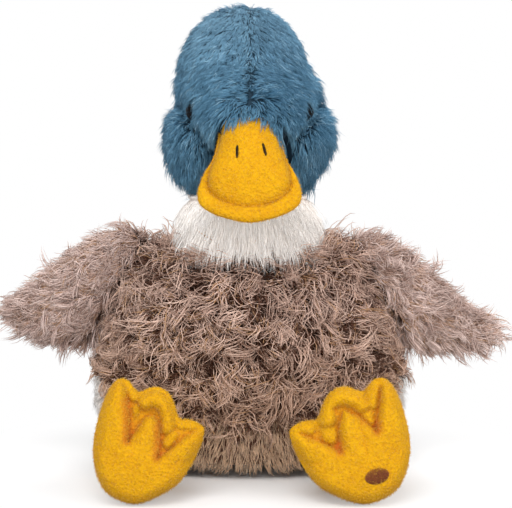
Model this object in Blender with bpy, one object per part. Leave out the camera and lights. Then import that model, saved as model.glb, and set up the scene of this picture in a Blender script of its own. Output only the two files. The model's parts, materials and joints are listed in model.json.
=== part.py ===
"""A sitting plush duck: sewn covers over stuffing, with a turning neck, a nodding head, wings that lift and legs that lift.

The duck sits on the plane z = 0, faces -Y, and its own left side is +X. Lengths are in metres.
The outer faces of the fur pieces are the mean surface of the pile.
"""

import math

import bmesh
import bpy
import numpy as np
from mathutils import Matrix, Vector
from mathutils.bvhtree import BVHTree

MM = 0.001

# Clearances and seams
SEAM_GAP = 0.3 * MM
JOINT_GAP = 0.5 * MM
CUT_OVERRUN = 6.0 * MM
MERGE_DISTANCE = 0.001 * MM
PIVOT_DISPLAY_SIZE = 10.0 * MM

# Torso
TORSO_HEIGHT = 128.0 * MM
TORSO_HALF_WIDTH = 88.0 * MM
TORSO_FRONT = 60.0 * MM
TORSO_BACK = 72.0 * MM
TORSO_PILE = 7.0 * MM
PELLET_BAG_HALF_WIDTH = 44.0 * MM
PELLET_BAG_HALF_DEPTH = 32.0 * MM
PELLET_BAG_HEIGHT = 20.0 * MM

# Tail
TAIL_LENGTH = 34.0 * MM
TAIL_HALF_WIDTH = 20.0 * MM
TAIL_HALF_THICKNESS = 11.0 * MM
TAIL_RISE = math.radians(28.0)
TAIL_HEIGHT = 0.344 * TORSO_HEIGHT
TAIL_SUNK = 16.0 * MM

# Neck
NECK_SETBACK = -5.0 * MM
NECK_CORE_RADIUS = 22.0 * MM
NECK_CORE_DEPTH = 26.0 * MM
COLLAR_RADIUS = 45.5 * MM
COLLAR_SUNK = 13.0 * MM
COLLAR_HEM_HEIGHT = TORSO_HEIGHT - COLLAR_SUNK
COLLAR_INNER_RISE = 10.0 * MM
COLLAR_HEIGHT = 43.0 * MM
NECK_TURN = math.radians(25.0)

# Head
HEAD_SUNK = 12.0 * MM
HEAD_BOTTOM = COLLAR_HEM_HEIGHT + COLLAR_HEIGHT - HEAD_SUNK
HEAD_HEIGHT = 104.0 * MM
HEAD_HALF_WIDTH = 46.5 * MM
HEAD_FRONT = 58.0 * MM
HEAD_BACK = 47.0 * MM
HEAD_PILE = 8.0 * MM
HEAD_SETBACK = -5.0 * MM
CHEEK_SWELL = 3.0 * MM
EYE_DENT = 4.0 * MM
HEAD_NOD = math.radians(10.0)
NOD_HEIGHT = HEAD_BOTTOM + 0.404 * HEAD_HEIGHT

# Eyes
EYE_RADIUS = 4.5 * MM
EYE_DOME = 3.6 * MM
EYE_STEM_RADIUS = 1.5 * MM
EYE_STEM_LENGTH = 9.0 * MM
EYE_POCKET_DEPTH = 5.8 * MM
EYE_BACKING = 2.0 * MM
WASHER_RADIUS = 6.0 * MM
WASHER_THICKNESS = 1.7 * MM

# Bill
BILL_TIP_REACH = 85.0 * MM
BILL_DROOP = 6.0 * MM
BILL_TIP_HEIGHT = HEAD_BOTTOM - BILL_DROOP
BILL_PITCH = math.radians(53.0)
BILL_LENGTH = 80.0 * MM
BILL_HALF_WIDTH = 26.3 * MM
BILL_CREST = 15.0 * MM
BILL_KEEL = 8.5 * MM
BILL_RIM = 1.8 * MM
BILL_PANEL = 1.6 * MM
BILL_ROUNDNESS = 0.8
BILL_SEAM_SHARE = 0.98
NOSTRIL_LENGTH = 6.5 * MM
NOSTRIL_WIDTH = 1.3 * MM
NOSTRIL_RISE = 0.7 * MM
NOSTRIL_SPREAD = 7.0 * MM
NOSTRIL_FROM_TIP = 33.5 * MM

# Wings
WING_ROOT_SPREAD = 50.0 * MM
WING_SUNK = 6.0 * MM
WING_ROOT_HEIGHT = TORSO_HEIGHT - WING_SUNK
WING_SPAN = 85.0 * MM
WING_CHORD = 58.0 * MM
WING_HALF_THICKNESS = 12.0 * MM
WING_PANEL = 5.0 * MM
WING_EDGE = 2.2 * MM
WING_LIFT = math.radians(60.0)

# Legs and feet
FOOT_SPREAD = 55.5 * MM
FOOT_REACH_FORWARD = 101.0 * MM
HEEL_HEIGHT = 18.4 * MM
FOOT_RADIUS = 45.0 * MM
FOOT_HALF_THICKNESS = 11.5 * MM
FOOT_EDGE = 1.8 * MM
FOOT_PANEL = 1.8 * MM
FOOT_ROLL = math.radians(15.0)
FOOT_LEAN = math.radians(7.0)
TOE_GROOVE_WIDTH = 3.6 * MM
LEG_RADIUS = 12.5 * MM
LEG_WALL = 1.8 * MM
LEG_HEIGHT = 15.5 * MM
LEG_SUNK = 14.0 * MM
LEG_LIFT = math.radians(25.0)

# Counts of flat facets that stand for round forms
BODY_SEGMENTS = 24
HEAD_SEGMENTS = 20
NECK_SEGMENTS = 24
PAD_SEGMENTS = 28
FOOT_SEGMENTS = 30
LEG_SEGMENTS = 12
TURNED_SEGMENTS = 12
EYE_DOME_STEPS = 4
NOD_STEPS = 3
CURVE_STEPS = 12

# Rows of a form: share of the height, of the half width, of the front depth and of the back depth
TORSO_SHARES = (
    (0.000, 0.68, 0.70, 0.72),
    (0.014, 0.74, 0.76, 0.79),
    (0.055, 0.86, 0.87, 0.91),
    (0.140, 0.95, 0.95, 0.98),
    (0.270, 1.00, 1.00, 1.00),
    (0.410, 1.00, 1.00, 0.985),
    (0.520, 0.96, 0.99, 0.935),
    (0.630, 0.885, 0.975, 0.865),
    (0.720, 0.80, 0.95, 0.79),
    (0.800, 0.74, 0.91, 0.71),
    (0.880, 0.66, 0.86, 0.63),
    (0.945, 0.56, 0.76, 0.54),
    (0.985, 0.42, 0.60, 0.40),
    (1.000, 0.20, 0.28, 0.20),
)
HEM_ROW = 4
HEAD_SHARES = (
    (0.000, 0.00, 0.00, 0.00),
    (0.029, 0.50, 0.31, 0.43),
    (0.067, 0.74, 0.47, 0.60),
    (0.135, 0.905, 0.61, 0.745),
    (0.212, 0.968, 0.71, 0.87),
    (0.298, 1.00, 0.82, 0.947),
    (0.404, 0.975, 0.98, 0.99),
    (0.510, 0.90, 1.00, 1.00),
    (0.615, 0.825, 0.91, 0.957),
    (0.721, 0.75, 0.755, 0.87),
    (0.817, 0.653, 0.58, 0.745),
    (0.904, 0.516, 0.39, 0.57),
    (0.971, 0.316, 0.21, 0.30),
    (1.000, 0.00, 0.00, 0.00),
)
PELLET_BAG_SHARES = (
    (0.00, 0.72, 0.72, 0.72),
    (0.20, 0.95, 0.95, 0.95),
    (0.45, 1.00, 1.00, 1.00),
    (0.75, 0.82, 0.82, 0.82),
    (0.95, 0.42, 0.42, 0.42),
    (1.00, 0.00, 0.00, 0.00),
)

# Where the head swells or is drawn in: angle from the front, share of the height, spread in angle and in height
CHEEK_ANGLE = math.radians(62.0)
CHEEK_HEIGHT_SHARE = 0.25
CHEEK_ANGLE_SPREAD = math.radians(30.0)
CHEEK_HEIGHT_SPREAD_SHARE = 0.14
EYE_ANGLE = math.radians(44.0)
EYE_HEIGHT_SHARE = 0.455
EYE_ANGLE_SPREAD = math.radians(15.0)
EYE_HEIGHT_SPREAD_SHARE = 0.09

# The collar's outer face: share of its height above the hem, and share of its radius
COLLAR_SHARES = ((0.00, 0.965), (0.10, 1.00), (0.28, 0.98), (0.52, 0.91), (0.76, 0.85), (1.00, 0.79))

# The bill's rim and its stitched line: share of the bill's length from the tip, and share of its half width
BILL_RIM_SHARES = (
    (0.000, 0.00),
    (0.019, 0.32),
    (0.062, 0.68),
    (0.125, 0.935),
    (0.200, 1.00),
    (0.275, 0.962),
    (0.350, 0.882),
    (0.425, 0.76),
    (0.513, 0.673),
    (0.650, 0.61),
    (0.825, 0.59),
    (0.970, 0.45),
    (1.000, 0.00),
)
BILL_STITCH_SHARES = (
    (0.107, 0.00),
    (0.115, 0.21),
    (0.137, 0.44),
    (0.175, 0.63),
    (0.225, 0.76),
    (0.281, 0.787),
    (0.350, 0.76),
    (0.425, 0.684),
    (0.525, 0.60),
    (0.650, 0.544),
    (0.825, 0.53),
    (0.960, 0.38),
    (0.985, 0.00),
)
BILL_CENTRE_SHARE = 0.33
NOSTRIL_STEP_SHARES = (-1.0, -0.8, -0.3, 0.3, 0.8, 1.0)
BILL_CREST_SHARES = ((0.10, 0.12), (0.18, 0.40), (0.28, 0.66), (0.42, 0.88), (0.60, 1.00), (1.00, 0.60))

# A wing's outline from the top of its root: share of the span outward, and share of the chord downward
WING_SHARES = (
    (0.00, 0.00),
    (0.22, -0.03),
    (0.42, 0.08),
    (0.60, 0.25),
    (0.78, 0.46),
    (0.94, 0.67),
    (1.00, 0.82),
    (0.92, 0.94),
    (0.70, 0.99),
    (0.46, 0.99),
    (0.24, 0.93),
    (0.04, 0.80),
    (-0.05, 0.40),
)
WING_CENTRE_SHARES = (0.46, 0.52)

# A foot's outline round its heel: angle from the middle toe towards the outer one, and share of the foot's radius
FOOT_OUTLINE_SHARES = (
    (-180, 0.395),
    (-146, 0.395),
    (-101, 0.47),
    (-64, 0.675),
    (-48, 0.79),
    (-38, 0.785),
    (-25, 0.68),
    (-12, 0.82),
    (2, 0.905),
    (14, 0.82),
    (25, 1.00),
    (36, 0.94),
    (50, 0.755),
    (74, 0.54),
    (97, 0.44),
    (121, 0.40),
    (150, 0.39),
)
FOOT_CENTRE_SHARE = 0.25
TOE_GROOVE_ANGLES = (math.radians(-25.0), math.radians(14.0))
TOE_GROOVE_FROM_SHARE = 0.36
TOE_GROOVE_TO_SHARE = 0.95
TOE_GROOVE_FADE_SHARE = 0.33
TOE_GROOVE_DEPTH_SHARE = 0.55

# Rings of a sewn pad from its edge to its middle, as shares of the outline
PAD_RING_SHARES = (1.0, 0.95, 0.76, 0.42, 0.0)
STUFFING_RING_SHARES = PAD_RING_SHARES[2:]

# A leg's radius from the hip to the ankle, as shares of its largest radius
LEG_SHARES = (1.00, 1.00, 0.95, 0.88, 0.86)

# The tail from its root to its tip: share of its length, of its half width and of its half thickness
TAIL_SHARES = ((0.0, 1.0, 1.0), (0.35, 0.98, 0.92), (0.65, 0.80, 0.70), (0.87, 0.50, 0.42), (1.0, 0.0, 0.0))

# Finishes: colour, roughness, metallic
BLUE_FUR = ("blue_fur", (0.09, 0.18, 0.27), 0.9, 0.0)
WHITE_FUR = ("white_fur", (0.74, 0.69, 0.66), 0.9, 0.0)
BROWN_FUR = ("brown_fur", (0.33, 0.23, 0.19), 0.95, 0.0)
PALE_PLUSH = ("pale_plush", (0.66, 0.60, 0.54), 0.9, 0.0)
YELLOW_VELOUR = ("yellow_velour", (0.86, 0.45, 0.02), 0.8, 0.0)
STUFFING = ("stuffing", (0.85, 0.85, 0.83), 0.95, 0.0)
PELLET_CLOTH = ("pellet_cloth", (0.70, 0.70, 0.66), 0.9, 0.0)
BLACK_EYE = ("black_eye", (0.01, 0.01, 0.012), 0.15, 0.0)
CLEAR_WASHER = ("washer_plastic", (0.80, 0.80, 0.78), 0.4, 0.0)
BROWN_THREAD = ("brown_thread", (0.06, 0.03, 0.015), 0.7, 0.0)


def clear_scene():
    for thing in list(bpy.data.objects):
        bpy.data.objects.remove(thing, do_unlink=True)


def finish(recipe):
    name, colour, roughness, metallic = recipe
    found = bpy.data.materials.get(name)
    if found:
        return found
    made = bpy.data.materials.new(name)
    made.use_nodes = True
    shader = made.node_tree.nodes["Principled BSDF"]
    shader.inputs["Base Color"].default_value = (*colour, 1.0)
    shader.inputs["Roughness"].default_value = roughness
    shader.inputs["Metallic"].default_value = metallic
    made.diffuse_color = (*colour, 1.0)
    return made


def place_of(carrier):
    return Vector(carrier["place"]) if carrier else Vector()


def pivot(name, place, axis, lowest, highest, parent=None):
    """An empty on a joint's axis, which carries the pieces that the joint moves and keeps how far it turns."""
    made = bpy.data.objects.new(name, None)
    made.empty_display_size = PIVOT_DISPLAY_SIZE
    bpy.context.collection.objects.link(made)
    made.parent = parent
    made.location = Vector(place) - place_of(parent)
    made["place"] = place
    made["axis"] = axis
    made["turns_degrees"] = (math.degrees(lowest), math.degrees(highest))
    return made


def closed_mesh(name, points, faces):
    """A mesh from points and faces, with equal points joined, collapsed faces left out and the faces turned outward."""
    mesh = bpy.data.meshes.new(name)
    seen = {}
    corners = []
    order = []
    for point in points:
        key = tuple(int(round(value / MERGE_DISTANCE)) for value in point)
        if key not in seen:
            seen[key] = len(corners)
            corners.append(tuple(float(value) for value in point))
        order.append(seen[key])
    kept = []
    for face in faces:
        loop = []
        for index in face:
            if not loop or loop[-1] != order[index]:
                loop.append(order[index])
        if len(loop) > 1 and loop[0] == loop[-1]:
            loop.pop()
        if len(set(loop)) > 2:
            kept.append(loop)
    mesh.from_pydata(corners, [], kept)
    shape = bmesh.new()
    shape.from_mesh(mesh)
    bmesh.ops.recalc_face_normals(shape, faces=shape.faces)
    shape.to_mesh(mesh)
    shape.free()
    mesh.shade_smooth()
    return mesh


def add_piece(name, points, faces, recipe, carrier=None):
    """A named piece from points in the duck's frame, hung on its joint's pivot."""
    local = [Vector(point) - place_of(carrier) for point in points]
    mesh = closed_mesh(name, local, faces)
    mesh.materials.append(finish(recipe))
    made = bpy.data.objects.new(name, mesh)
    bpy.context.collection.objects.link(made)
    made.parent = carrier
    return made


def add_guide(name, points, faces):
    """A cutter, which is not a piece of the duck."""
    made = bpy.data.objects.new(name, closed_mesh(name, points, faces))
    bpy.context.collection.objects.link(made)
    made.hide_render = True
    made.display_type = "WIRE"
    return made


def split_into_triangles(mesh):
    """Makes every face flat, so that a cutter of bent faces cuts cleanly."""
    shape = bmesh.new()
    shape.from_mesh(mesh)
    bmesh.ops.triangulate(shape, faces=shape.faces)
    shape.to_mesh(mesh)
    shape.free()


def cut(piece, *guides):
    for guide in guides:
        step = piece.modifiers.new("cut by " + guide.name, "BOOLEAN")
        step.operation = "DIFFERENCE"
        step.solver = "EXACT"
        step.object = guide


def grid_faces(rows, columns, start, wrap):
    faces = []
    for row in range(rows - 1):
        for column in range(columns if wrap else columns - 1):
            after = (column + 1) % columns
            near = start + row * columns
            far = near + columns
            faces.append((near + column, near + after, far + after, far + column))
    return faces


def solid_from_rings(rings):
    """Points and faces of a closed form through rings, with a flat cap on each end that is not a point."""
    rows, columns, _ = rings.shape
    faces = grid_faces(rows, columns, 0, True)
    faces.append(tuple(range(columns)))
    faces.append(tuple(range((rows - 1) * columns, rows * columns)))
    return rings.reshape(-1, 3), faces


def shell_between(outer, inner, wrap):
    """Points and faces of a thick patch: two grids of points of one shape, joined round their edges."""
    rows, columns, _ = outer.shape
    count = rows * columns
    faces = grid_faces(rows, columns, 0, wrap) + grid_faces(rows, columns, count, wrap)
    for row in (0, rows - 1):
        for column in range(columns if wrap else columns - 1):
            near = row * columns + column
            after = row * columns + (column + 1) % columns
            faces.append((near, after, after + count, near + count))
    if not wrap:
        for column in (0, columns - 1):
            for row in range(rows - 1):
                near = row * columns + column
                after = near + columns
                faces.append((near, after, after + count, near + count))
    return np.concatenate([outer.reshape(-1, 3), inner.reshape(-1, 3)]), faces


def turned(profile, segments):
    """Rings of a form turned about Z, from pairs of radius and height."""
    angles = np.arange(segments) * (2 * math.pi / segments)
    return np.array([[(r * math.sin(a), -r * math.cos(a), z) for a in angles] for r, z in profile])


def form_rings(shares, sizes, base, height, setback, inset, angles):
    """Rings of a swelling form. Its half sizes are all less by inset, and angles run from the front towards +X."""
    half_width, front, back = (size - inset for size in sizes)
    middle = base + height / 2
    squeeze = 1 - 2 * inset / height
    rings = []
    for up, wide, forward, rear in shares:
        z = middle + (base + up * height - middle) * squeeze
        ring = []
        for angle in angles:
            depth = front * forward if math.cos(angle) > 0 else back * rear
            ring.append((half_width * wide * math.sin(angle), setback - depth * math.cos(angle), z))
        rings.append(ring)
    return np.array(rings)


def full_turn(segments):
    return [2 * math.pi * step / segments for step in range(segments)]


def half_turn(segments, start):
    return [start + 2 * math.pi * step / segments for step in range(segments // 2 + 1)]


def torso_rings(inset, angles, shares=TORSO_SHARES):
    sizes = (TORSO_HALF_WIDTH, TORSO_FRONT, TORSO_BACK)
    return form_rings(shares, sizes, 0.0, TORSO_HEIGHT, 0.0, inset, angles)


def dimple(angle, up, at_angle, at_up, angle_spread, up_spread):
    """How far, from 0 to 1, a soft dent or swelling that stands on both sides of the head reaches a place on it."""
    turn = (abs((angle + math.pi) % (2 * math.pi) - math.pi) - at_angle) / angle_spread
    climb = (up - at_up) / up_spread
    return math.exp(-turn * turn - climb * climb)


def head_rings(inset, angles):
    sizes = (HEAD_HALF_WIDTH, HEAD_FRONT, HEAD_BACK)
    rings = form_rings(HEAD_SHARES, sizes, HEAD_BOTTOM, HEAD_HEIGHT, HEAD_SETBACK, inset, angles)
    for row, (up, wide, _, _) in enumerate(HEAD_SHARES):
        if wide == 0:
            continue
        for column, angle in enumerate(angles):
            swell = CHEEK_SWELL * dimple(
                angle, up, CHEEK_ANGLE, CHEEK_HEIGHT_SHARE, CHEEK_ANGLE_SPREAD, CHEEK_HEIGHT_SPREAD_SHARE
            )
            dent = EYE_DENT * dimple(
                angle, up, EYE_ANGLE, EYE_HEIGHT_SHARE, EYE_ANGLE_SPREAD, EYE_HEIGHT_SPREAD_SHARE
            )
            outward = np.array((math.sin(angle), -math.cos(angle), 0.0))
            rings[row, column] += (swell - dent) * outward
    return rings


def smooth_loop(points, count):
    """Evenly spaced points on a smooth closed curve through the given ones."""
    points = np.array(points, float)
    total = len(points)
    fine = []
    for index in range(total):
        before, here, after, beyond = (points[(index + step) % total] for step in (-1, 0, 1, 2))
        for step in range(CURVE_STEPS):
            t = step / CURVE_STEPS
            fine.append(
                0.5
                * (
                    2 * here
                    + (after - before) * t
                    + (2 * before - 5 * here + 4 * after - beyond) * t * t
                    + (3 * here - before - 3 * after + beyond) * t**3
                )
            )
    fine = np.array(fine + [fine[0]])
    along = np.concatenate([[0.0], np.cumsum(np.linalg.norm(np.diff(fine, axis=0), axis=1))])
    wanted = np.arange(count) * (along[-1] / count)
    return np.stack([np.interp(wanted, along, fine[:, axis]) for axis in (0, 1)], axis=1)


def row_between(rows, at):
    return float(np.interp(at, [row[0] for row in rows], [row[1] for row in rows]))


def domed(share):
    """Height of a stuffed pad over its seam plane, from 0 at its edge to 1 in its middle."""
    return math.sqrt(max(0.0, 1 - share * share))


# Joints' pivots, from the torso outwards

def build_pivots():
    neck = pivot("neck_turn", (0.0, NECK_SETBACK, COLLAR_HEM_HEIGHT), (0, 0, 1), -NECK_TURN, NECK_TURN)
    made = {"neck": neck}
    made["head"] = pivot("head_nod", (0.0, HEAD_SETBACK, NOD_HEIGHT), (1, 0, 0), -HEAD_NOD, HEAD_NOD, neck)
    for side, sign in (("left", 1), ("right", -1)):
        shoulder = (sign * WING_ROOT_SPREAD, 0.0, WING_ROOT_HEIGHT)
        hip = (sign * FOOT_SPREAD, leg_root(), leg_top())
        made["wing_" + side] = pivot(f"wing_{side}_lift", shoulder, (0, -sign, 0), 0.0, WING_LIFT)
        made["leg_" + side] = pivot(f"leg_{side}_lift", hip, (-1, 0, 0), 0.0, LEG_LIFT)
    return made


# Torso: two fur panels sewn at the sides, a plush underside, stuffing and a bag of pellets

def panel_grid(inset, angles, first, last, lift):
    grid = torso_rings(inset, angles, TORSO_SHARES[first:last])
    grid[0 if lift > 0 else -1, :, 2] += lift
    return grid


def build_torso_panels(neck_room):
    for name, start, sign in (("body_front_panel", -math.pi / 2, -1), ("body_back_panel", math.pi / 2, 1)):
        angles = half_turn(BODY_SEGMENTS, start)
        grids = []
        for inset in (0.0, TORSO_PILE):
            grid = panel_grid(inset, angles, HEM_ROW, len(TORSO_SHARES), SEAM_GAP / 2)
            grid[:, 0, 1] = sign * SEAM_GAP / 2
            grid[:, -1, 1] = sign * SEAM_GAP / 2
            grids.append(grid)
        panel = add_piece(name, *shell_between(*grids, False), BROWN_FUR)
        cut(panel, neck_room)


def build_underside():
    grids = []
    for inset in (0.0, TORSO_PILE):
        grid = panel_grid(inset, full_turn(BODY_SEGMENTS), 0, HEM_ROW + 1, -SEAM_GAP / 2)
        middle = np.repeat([[(0.0, 0.0, inset)]], BODY_SEGMENTS, axis=1)
        grids.append(np.concatenate([middle, grid]))
    return add_piece("underside_panel", *shell_between(*grids, True), PALE_PLUSH)


def pellet_bag_rings(extra, sunk):
    sizes = (PELLET_BAG_HALF_WIDTH + extra, PELLET_BAG_HALF_DEPTH + extra, PELLET_BAG_HALF_DEPTH + extra)
    base = TORSO_PILE + SEAM_GAP
    rings = form_rings(PELLET_BAG_SHARES, sizes, base, PELLET_BAG_HEIGHT + extra, 0.0, 0.0, full_turn(TURNED_SEGMENTS))
    rings[0, :, 2] -= sunk
    return rings


def build_torso_inside(neck_room):
    rings = torso_rings(TORSO_PILE + SEAM_GAP, full_turn(BODY_SEGMENTS))
    stuffing = add_piece("body_stuffing", *solid_from_rings(rings), STUFFING)
    add_piece("pellet_bag", *solid_from_rings(pellet_bag_rings(0.0, 0.0)), PELLET_CLOTH)
    bag_room = add_guide("pellet_bag_room", *solid_from_rings(pellet_bag_rings(SEAM_GAP, CUT_OVERRUN)))
    cut(stuffing, neck_room, bag_room)


def build_tail(torso_room):
    along = np.array((0.0, math.cos(TAIL_RISE), math.sin(TAIL_RISE)))
    across = np.array((0.0, -math.sin(TAIL_RISE), math.cos(TAIL_RISE)))
    root = np.array((0.0, TORSO_BACK - TAIL_SUNK, TAIL_HEIGHT))
    rings = []
    for far, wide, thick in TAIL_SHARES:
        centre = root + along * far * (TAIL_LENGTH + TAIL_SUNK)
        rings.append(
            [
                centre
                + np.array((TAIL_HALF_WIDTH * wide * math.sin(a), 0.0, 0.0))
                + across * TAIL_HALF_THICKNESS * thick * math.cos(a)
                for a in full_turn(TURNED_SEGMENTS)
            ]
        )
    tail = add_piece("tail", *solid_from_rings(np.array(rings)), BROWN_FUR)
    cut(tail, torso_room)


# Neck: a turned collar of white fur round a core of stuffing, so that it turns in the shoulders

def about_neck(profile):
    rings = turned(profile, NECK_SEGMENTS)
    rings[:, :, 1] += NECK_SETBACK
    return rings


def collar_outside():
    return [(COLLAR_RADIUS * wide, COLLAR_HEM_HEIGHT + COLLAR_HEIGHT * up) for up, wide in COLLAR_SHARES]


def neck_top():
    return COLLAR_HEM_HEIGHT + COLLAR_HEIGHT


def build_neck_room():
    """The space that the collar and the core turn in, inside the shoulders."""
    round_facets = 1 / math.cos(math.pi / NECK_SEGMENTS)
    widest = (COLLAR_RADIUS + JOINT_GAP) * round_facets
    core = (NECK_CORE_RADIUS + JOINT_GAP) * round_facets
    hem_radius = COLLAR_RADIUS * COLLAR_SHARES[0][1]
    floor = neck_core_bottom() - JOINT_GAP
    hem = COLLAR_HEM_HEIGHT - JOINT_GAP
    profile = [(0.0, floor), (core, floor), (core, hem + COLLAR_INNER_RISE), (hem_radius, hem), (widest, hem)]
    profile += [(widest, neck_top()), (0.0, neck_top())]
    return add_guide("neck_room", *solid_from_rings(about_neck(profile)))


def neck_core_bottom():
    return COLLAR_HEM_HEIGHT + COLLAR_INNER_RISE - NECK_CORE_DEPTH


def build_neck(carrier, head_swing):
    inner = NECK_CORE_RADIUS + SEAM_GAP
    profile = [(inner, neck_top()), (inner, COLLAR_HEM_HEIGHT + COLLAR_INNER_RISE)] + collar_outside()
    rings = about_neck(profile)
    rows, columns, _ = rings.shape
    faces = grid_faces(rows, columns, 0, True)
    for column in range(columns):
        after = (column + 1) % columns
        last = (rows - 1) * columns
        faces.append((last + column, last + after, after, column))
    collar = add_piece("neck_collar", rings.reshape(-1, 3), faces, WHITE_FUR, carrier)
    core = about_neck([(NECK_CORE_RADIUS, neck_core_bottom()), (NECK_CORE_RADIUS, neck_top())])
    core_piece = add_piece("neck_core", *solid_from_rings(core), STUFFING, carrier)
    cut(collar, *head_swing)
    cut(core_piece, *head_swing)


def build_head_swing():
    """Copies of the head, a little larger, at steps of its nod: the room that it needs in the collar."""
    guides = []
    centre = Vector((0.0, HEAD_SETBACK, NOD_HEIGHT))
    rings = head_rings(-JOINT_GAP, full_turn(HEAD_SEGMENTS))
    points, faces = solid_from_rings(rings)
    for step in range(NOD_STEPS):
        angle = HEAD_NOD * (2 * step / (NOD_STEPS - 1) - 1)
        swing = Matrix.Translation(centre) @ Matrix.Rotation(angle, 4, "X") @ Matrix.Translation(-centre)
        guide = add_guide(f"head_swing_{step + 1}", [swing @ Vector(point) for point in points], faces)
        split_into_triangles(guide.data)
        guides.append(guide)
    return guides


# Head: two fur halves that meet at the centre seam, over stuffing

def eye_frame(side):
    """The eye's axes on the head's outer face, with Z outward."""
    height = HEAD_BOTTOM + EYE_HEIGHT_SHARE * HEAD_HEIGHT
    points, faces = solid_from_rings(head_rings(0.0, full_turn(HEAD_SEGMENTS)))
    skin = BVHTree.FromPolygons([Vector(point) for point in points], faces)
    inward = Vector((-side * math.sin(EYE_ANGLE), math.cos(EYE_ANGLE), 0.0))
    start = Vector((0.0, HEAD_SETBACK, height)) - inward * (HEAD_FRONT + HEAD_HALF_WIDTH)
    place, _, _, _ = skin.ray_cast(start, inward)
    return Matrix.Translation(place) @ (-inward).to_track_quat("Z", "Y").to_matrix().to_4x4()


def build_eye(name_side, side, carrier):
    frame = eye_frame(side)
    seat = -EYE_POCKET_DEPTH + SEAM_GAP
    turns = [math.pi / 2 * step / EYE_DOME_STEPS for step in range(EYE_DOME_STEPS + 1)]
    arc = [(EYE_RADIUS * math.cos(turn), seat + EYE_DOME * math.sin(turn)) for turn in turns]
    stem = [(0.0, seat - EYE_STEM_LENGTH), (EYE_STEM_RADIUS, seat - EYE_STEM_LENGTH), (EYE_STEM_RADIUS, seat)]
    add_turned("eye_" + name_side, stem + arc, frame, BLACK_EYE, carrier)
    washer_top = -EYE_POCKET_DEPTH - EYE_BACKING - SEAM_GAP
    hole = EYE_STEM_RADIUS + SEAM_GAP
    washer = [
        (hole, washer_top),
        (hole, washer_top - WASHER_THICKNESS),
        (WASHER_RADIUS, washer_top - WASHER_THICKNESS),
        (WASHER_RADIUS, washer_top),
    ]
    add_turned("eye_washer_" + name_side, washer, frame, CLEAR_WASHER, carrier, ring=True)
    pocket_floor = -EYE_POCKET_DEPTH
    pocket = EYE_RADIUS + JOINT_GAP
    room = [(0.0, pocket_floor), (pocket, pocket_floor), (pocket, CUT_OVERRUN), (0.0, CUT_OVERRUN)]
    pocket_room = add_turned("eye_pocket_" + name_side, room, frame)
    stem_end = seat - EYE_STEM_LENGTH - SEAM_GAP
    washer_room = WASHER_RADIUS + SEAM_GAP
    back = [
        (0.0, stem_end),
        (hole, stem_end),
        (hole, washer_top - WASHER_THICKNESS - SEAM_GAP),
        (washer_room, washer_top - WASHER_THICKNESS - SEAM_GAP),
        (washer_room, washer_top + SEAM_GAP),
        (hole, washer_top + SEAM_GAP),
        (hole, pocket_floor + SEAM_GAP),
        (0.0, pocket_floor + SEAM_GAP),
    ]
    return pocket_room, add_turned("eye_stem_room_" + name_side, back, frame)


def add_turned(name, profile, frame, recipe=None, carrier=None, ring=False):
    """A turned piece on its own axes, or a guide where it has no finish."""
    rings = turned(profile, TURNED_SEGMENTS)
    if ring:
        rows, columns, _ = rings.shape
        faces = grid_faces(rows, columns, 0, True)
        last = (rows - 1) * columns
        for column in range(columns):
            after = (column + 1) % columns
            faces.append((last + column, last + after, after, column))
        points = rings.reshape(-1, 3)
    else:
        points, faces = solid_from_rings(rings)
    if recipe:
        made = add_piece(name, points, faces, recipe)
    else:
        made = add_guide(name, points, faces)
    made.parent = carrier
    made.matrix_local = Matrix.Translation(-place_of(carrier)) @ frame
    return made


def build_head(carrier):
    rooms = {"left": build_eye("left", 1, carrier), "right": build_eye("right", -1, carrier)}
    for name_side, start, side in (("left", 0.0, 1), ("right", math.pi, -1)):
        angles = half_turn(HEAD_SEGMENTS, start)
        grids = []
        for inset in (0.0, HEAD_PILE):
            grid = head_rings(inset, angles)
            near_seam = np.abs(grid[:, :, 0]) < SEAM_GAP / 2
            grid[:, :, 0] = np.where(near_seam, side * SEAM_GAP / 2, grid[:, :, 0])
            grids.append(grid)
        half = add_piece("head_cover_" + name_side, *shell_between(*grids, False), BLUE_FUR, carrier)
        cut(half, *rooms[name_side])
    rings = head_rings(HEAD_PILE + SEAM_GAP, full_turn(HEAD_SEGMENTS))
    stuffing = add_piece("head_stuffing", *solid_from_rings(rings), STUFFING, carrier)
    cut(stuffing, rooms["left"][1], rooms["right"][1])


# Bill: two velour panels with a flat stitched rim, over stuffing, sewn on below the forehead

def bill_point(across, from_tip, rise):
    """A point on the bill: sideways, back from the tip along the seam plane, and square to that plane."""
    tip = np.array((0.0, -BILL_TIP_REACH, BILL_TIP_HEIGHT))
    back = np.array((0.0, math.cos(BILL_PITCH), math.sin(BILL_PITCH)))
    up = np.array((0.0, -math.sin(BILL_PITCH), math.cos(BILL_PITCH)))
    return tip + np.array((across, 0.0, 0.0)) + back * from_tip + up * rise


def bill_outline(shares):
    right = [(BILL_HALF_WIDTH * wide, BILL_LENGTH * far) for far, wide in shares]
    left = [(-across, far) for across, far in reversed(right[1:-1])]
    return smooth_loop(right + left, PAD_SEGMENTS)


def bill_rise(from_tip, share, size):
    return size * row_between(BILL_CREST_SHARES, from_tip / BILL_LENGTH) * domed(share) ** BILL_ROUNDNESS


def bill_ring(outline, share, lift):
    centre = np.array((0.0, BILL_CENTRE_SHARE * BILL_LENGTH))
    ring = []
    for corner in outline:
        across, from_tip = centre + (corner - centre) * share
        ring.append(bill_point(across, from_tip, lift(from_tip)))
    return ring


def bill_surface(size, side, drop, rings):
    """Rings of one face of the bill from the stitched line to the middle, drop below its outer face."""
    stitch = bill_outline(BILL_STITCH_SHARES)
    grid = []
    for share in rings:
        def lift(from_tip, share=share):
            rise = BILL_RIM + bill_rise(from_tip, share, size) - drop
            return side * max(rise, SEAM_GAP / 2)
        grid.append(bill_ring(stitch, share, lift))
    return grid


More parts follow.
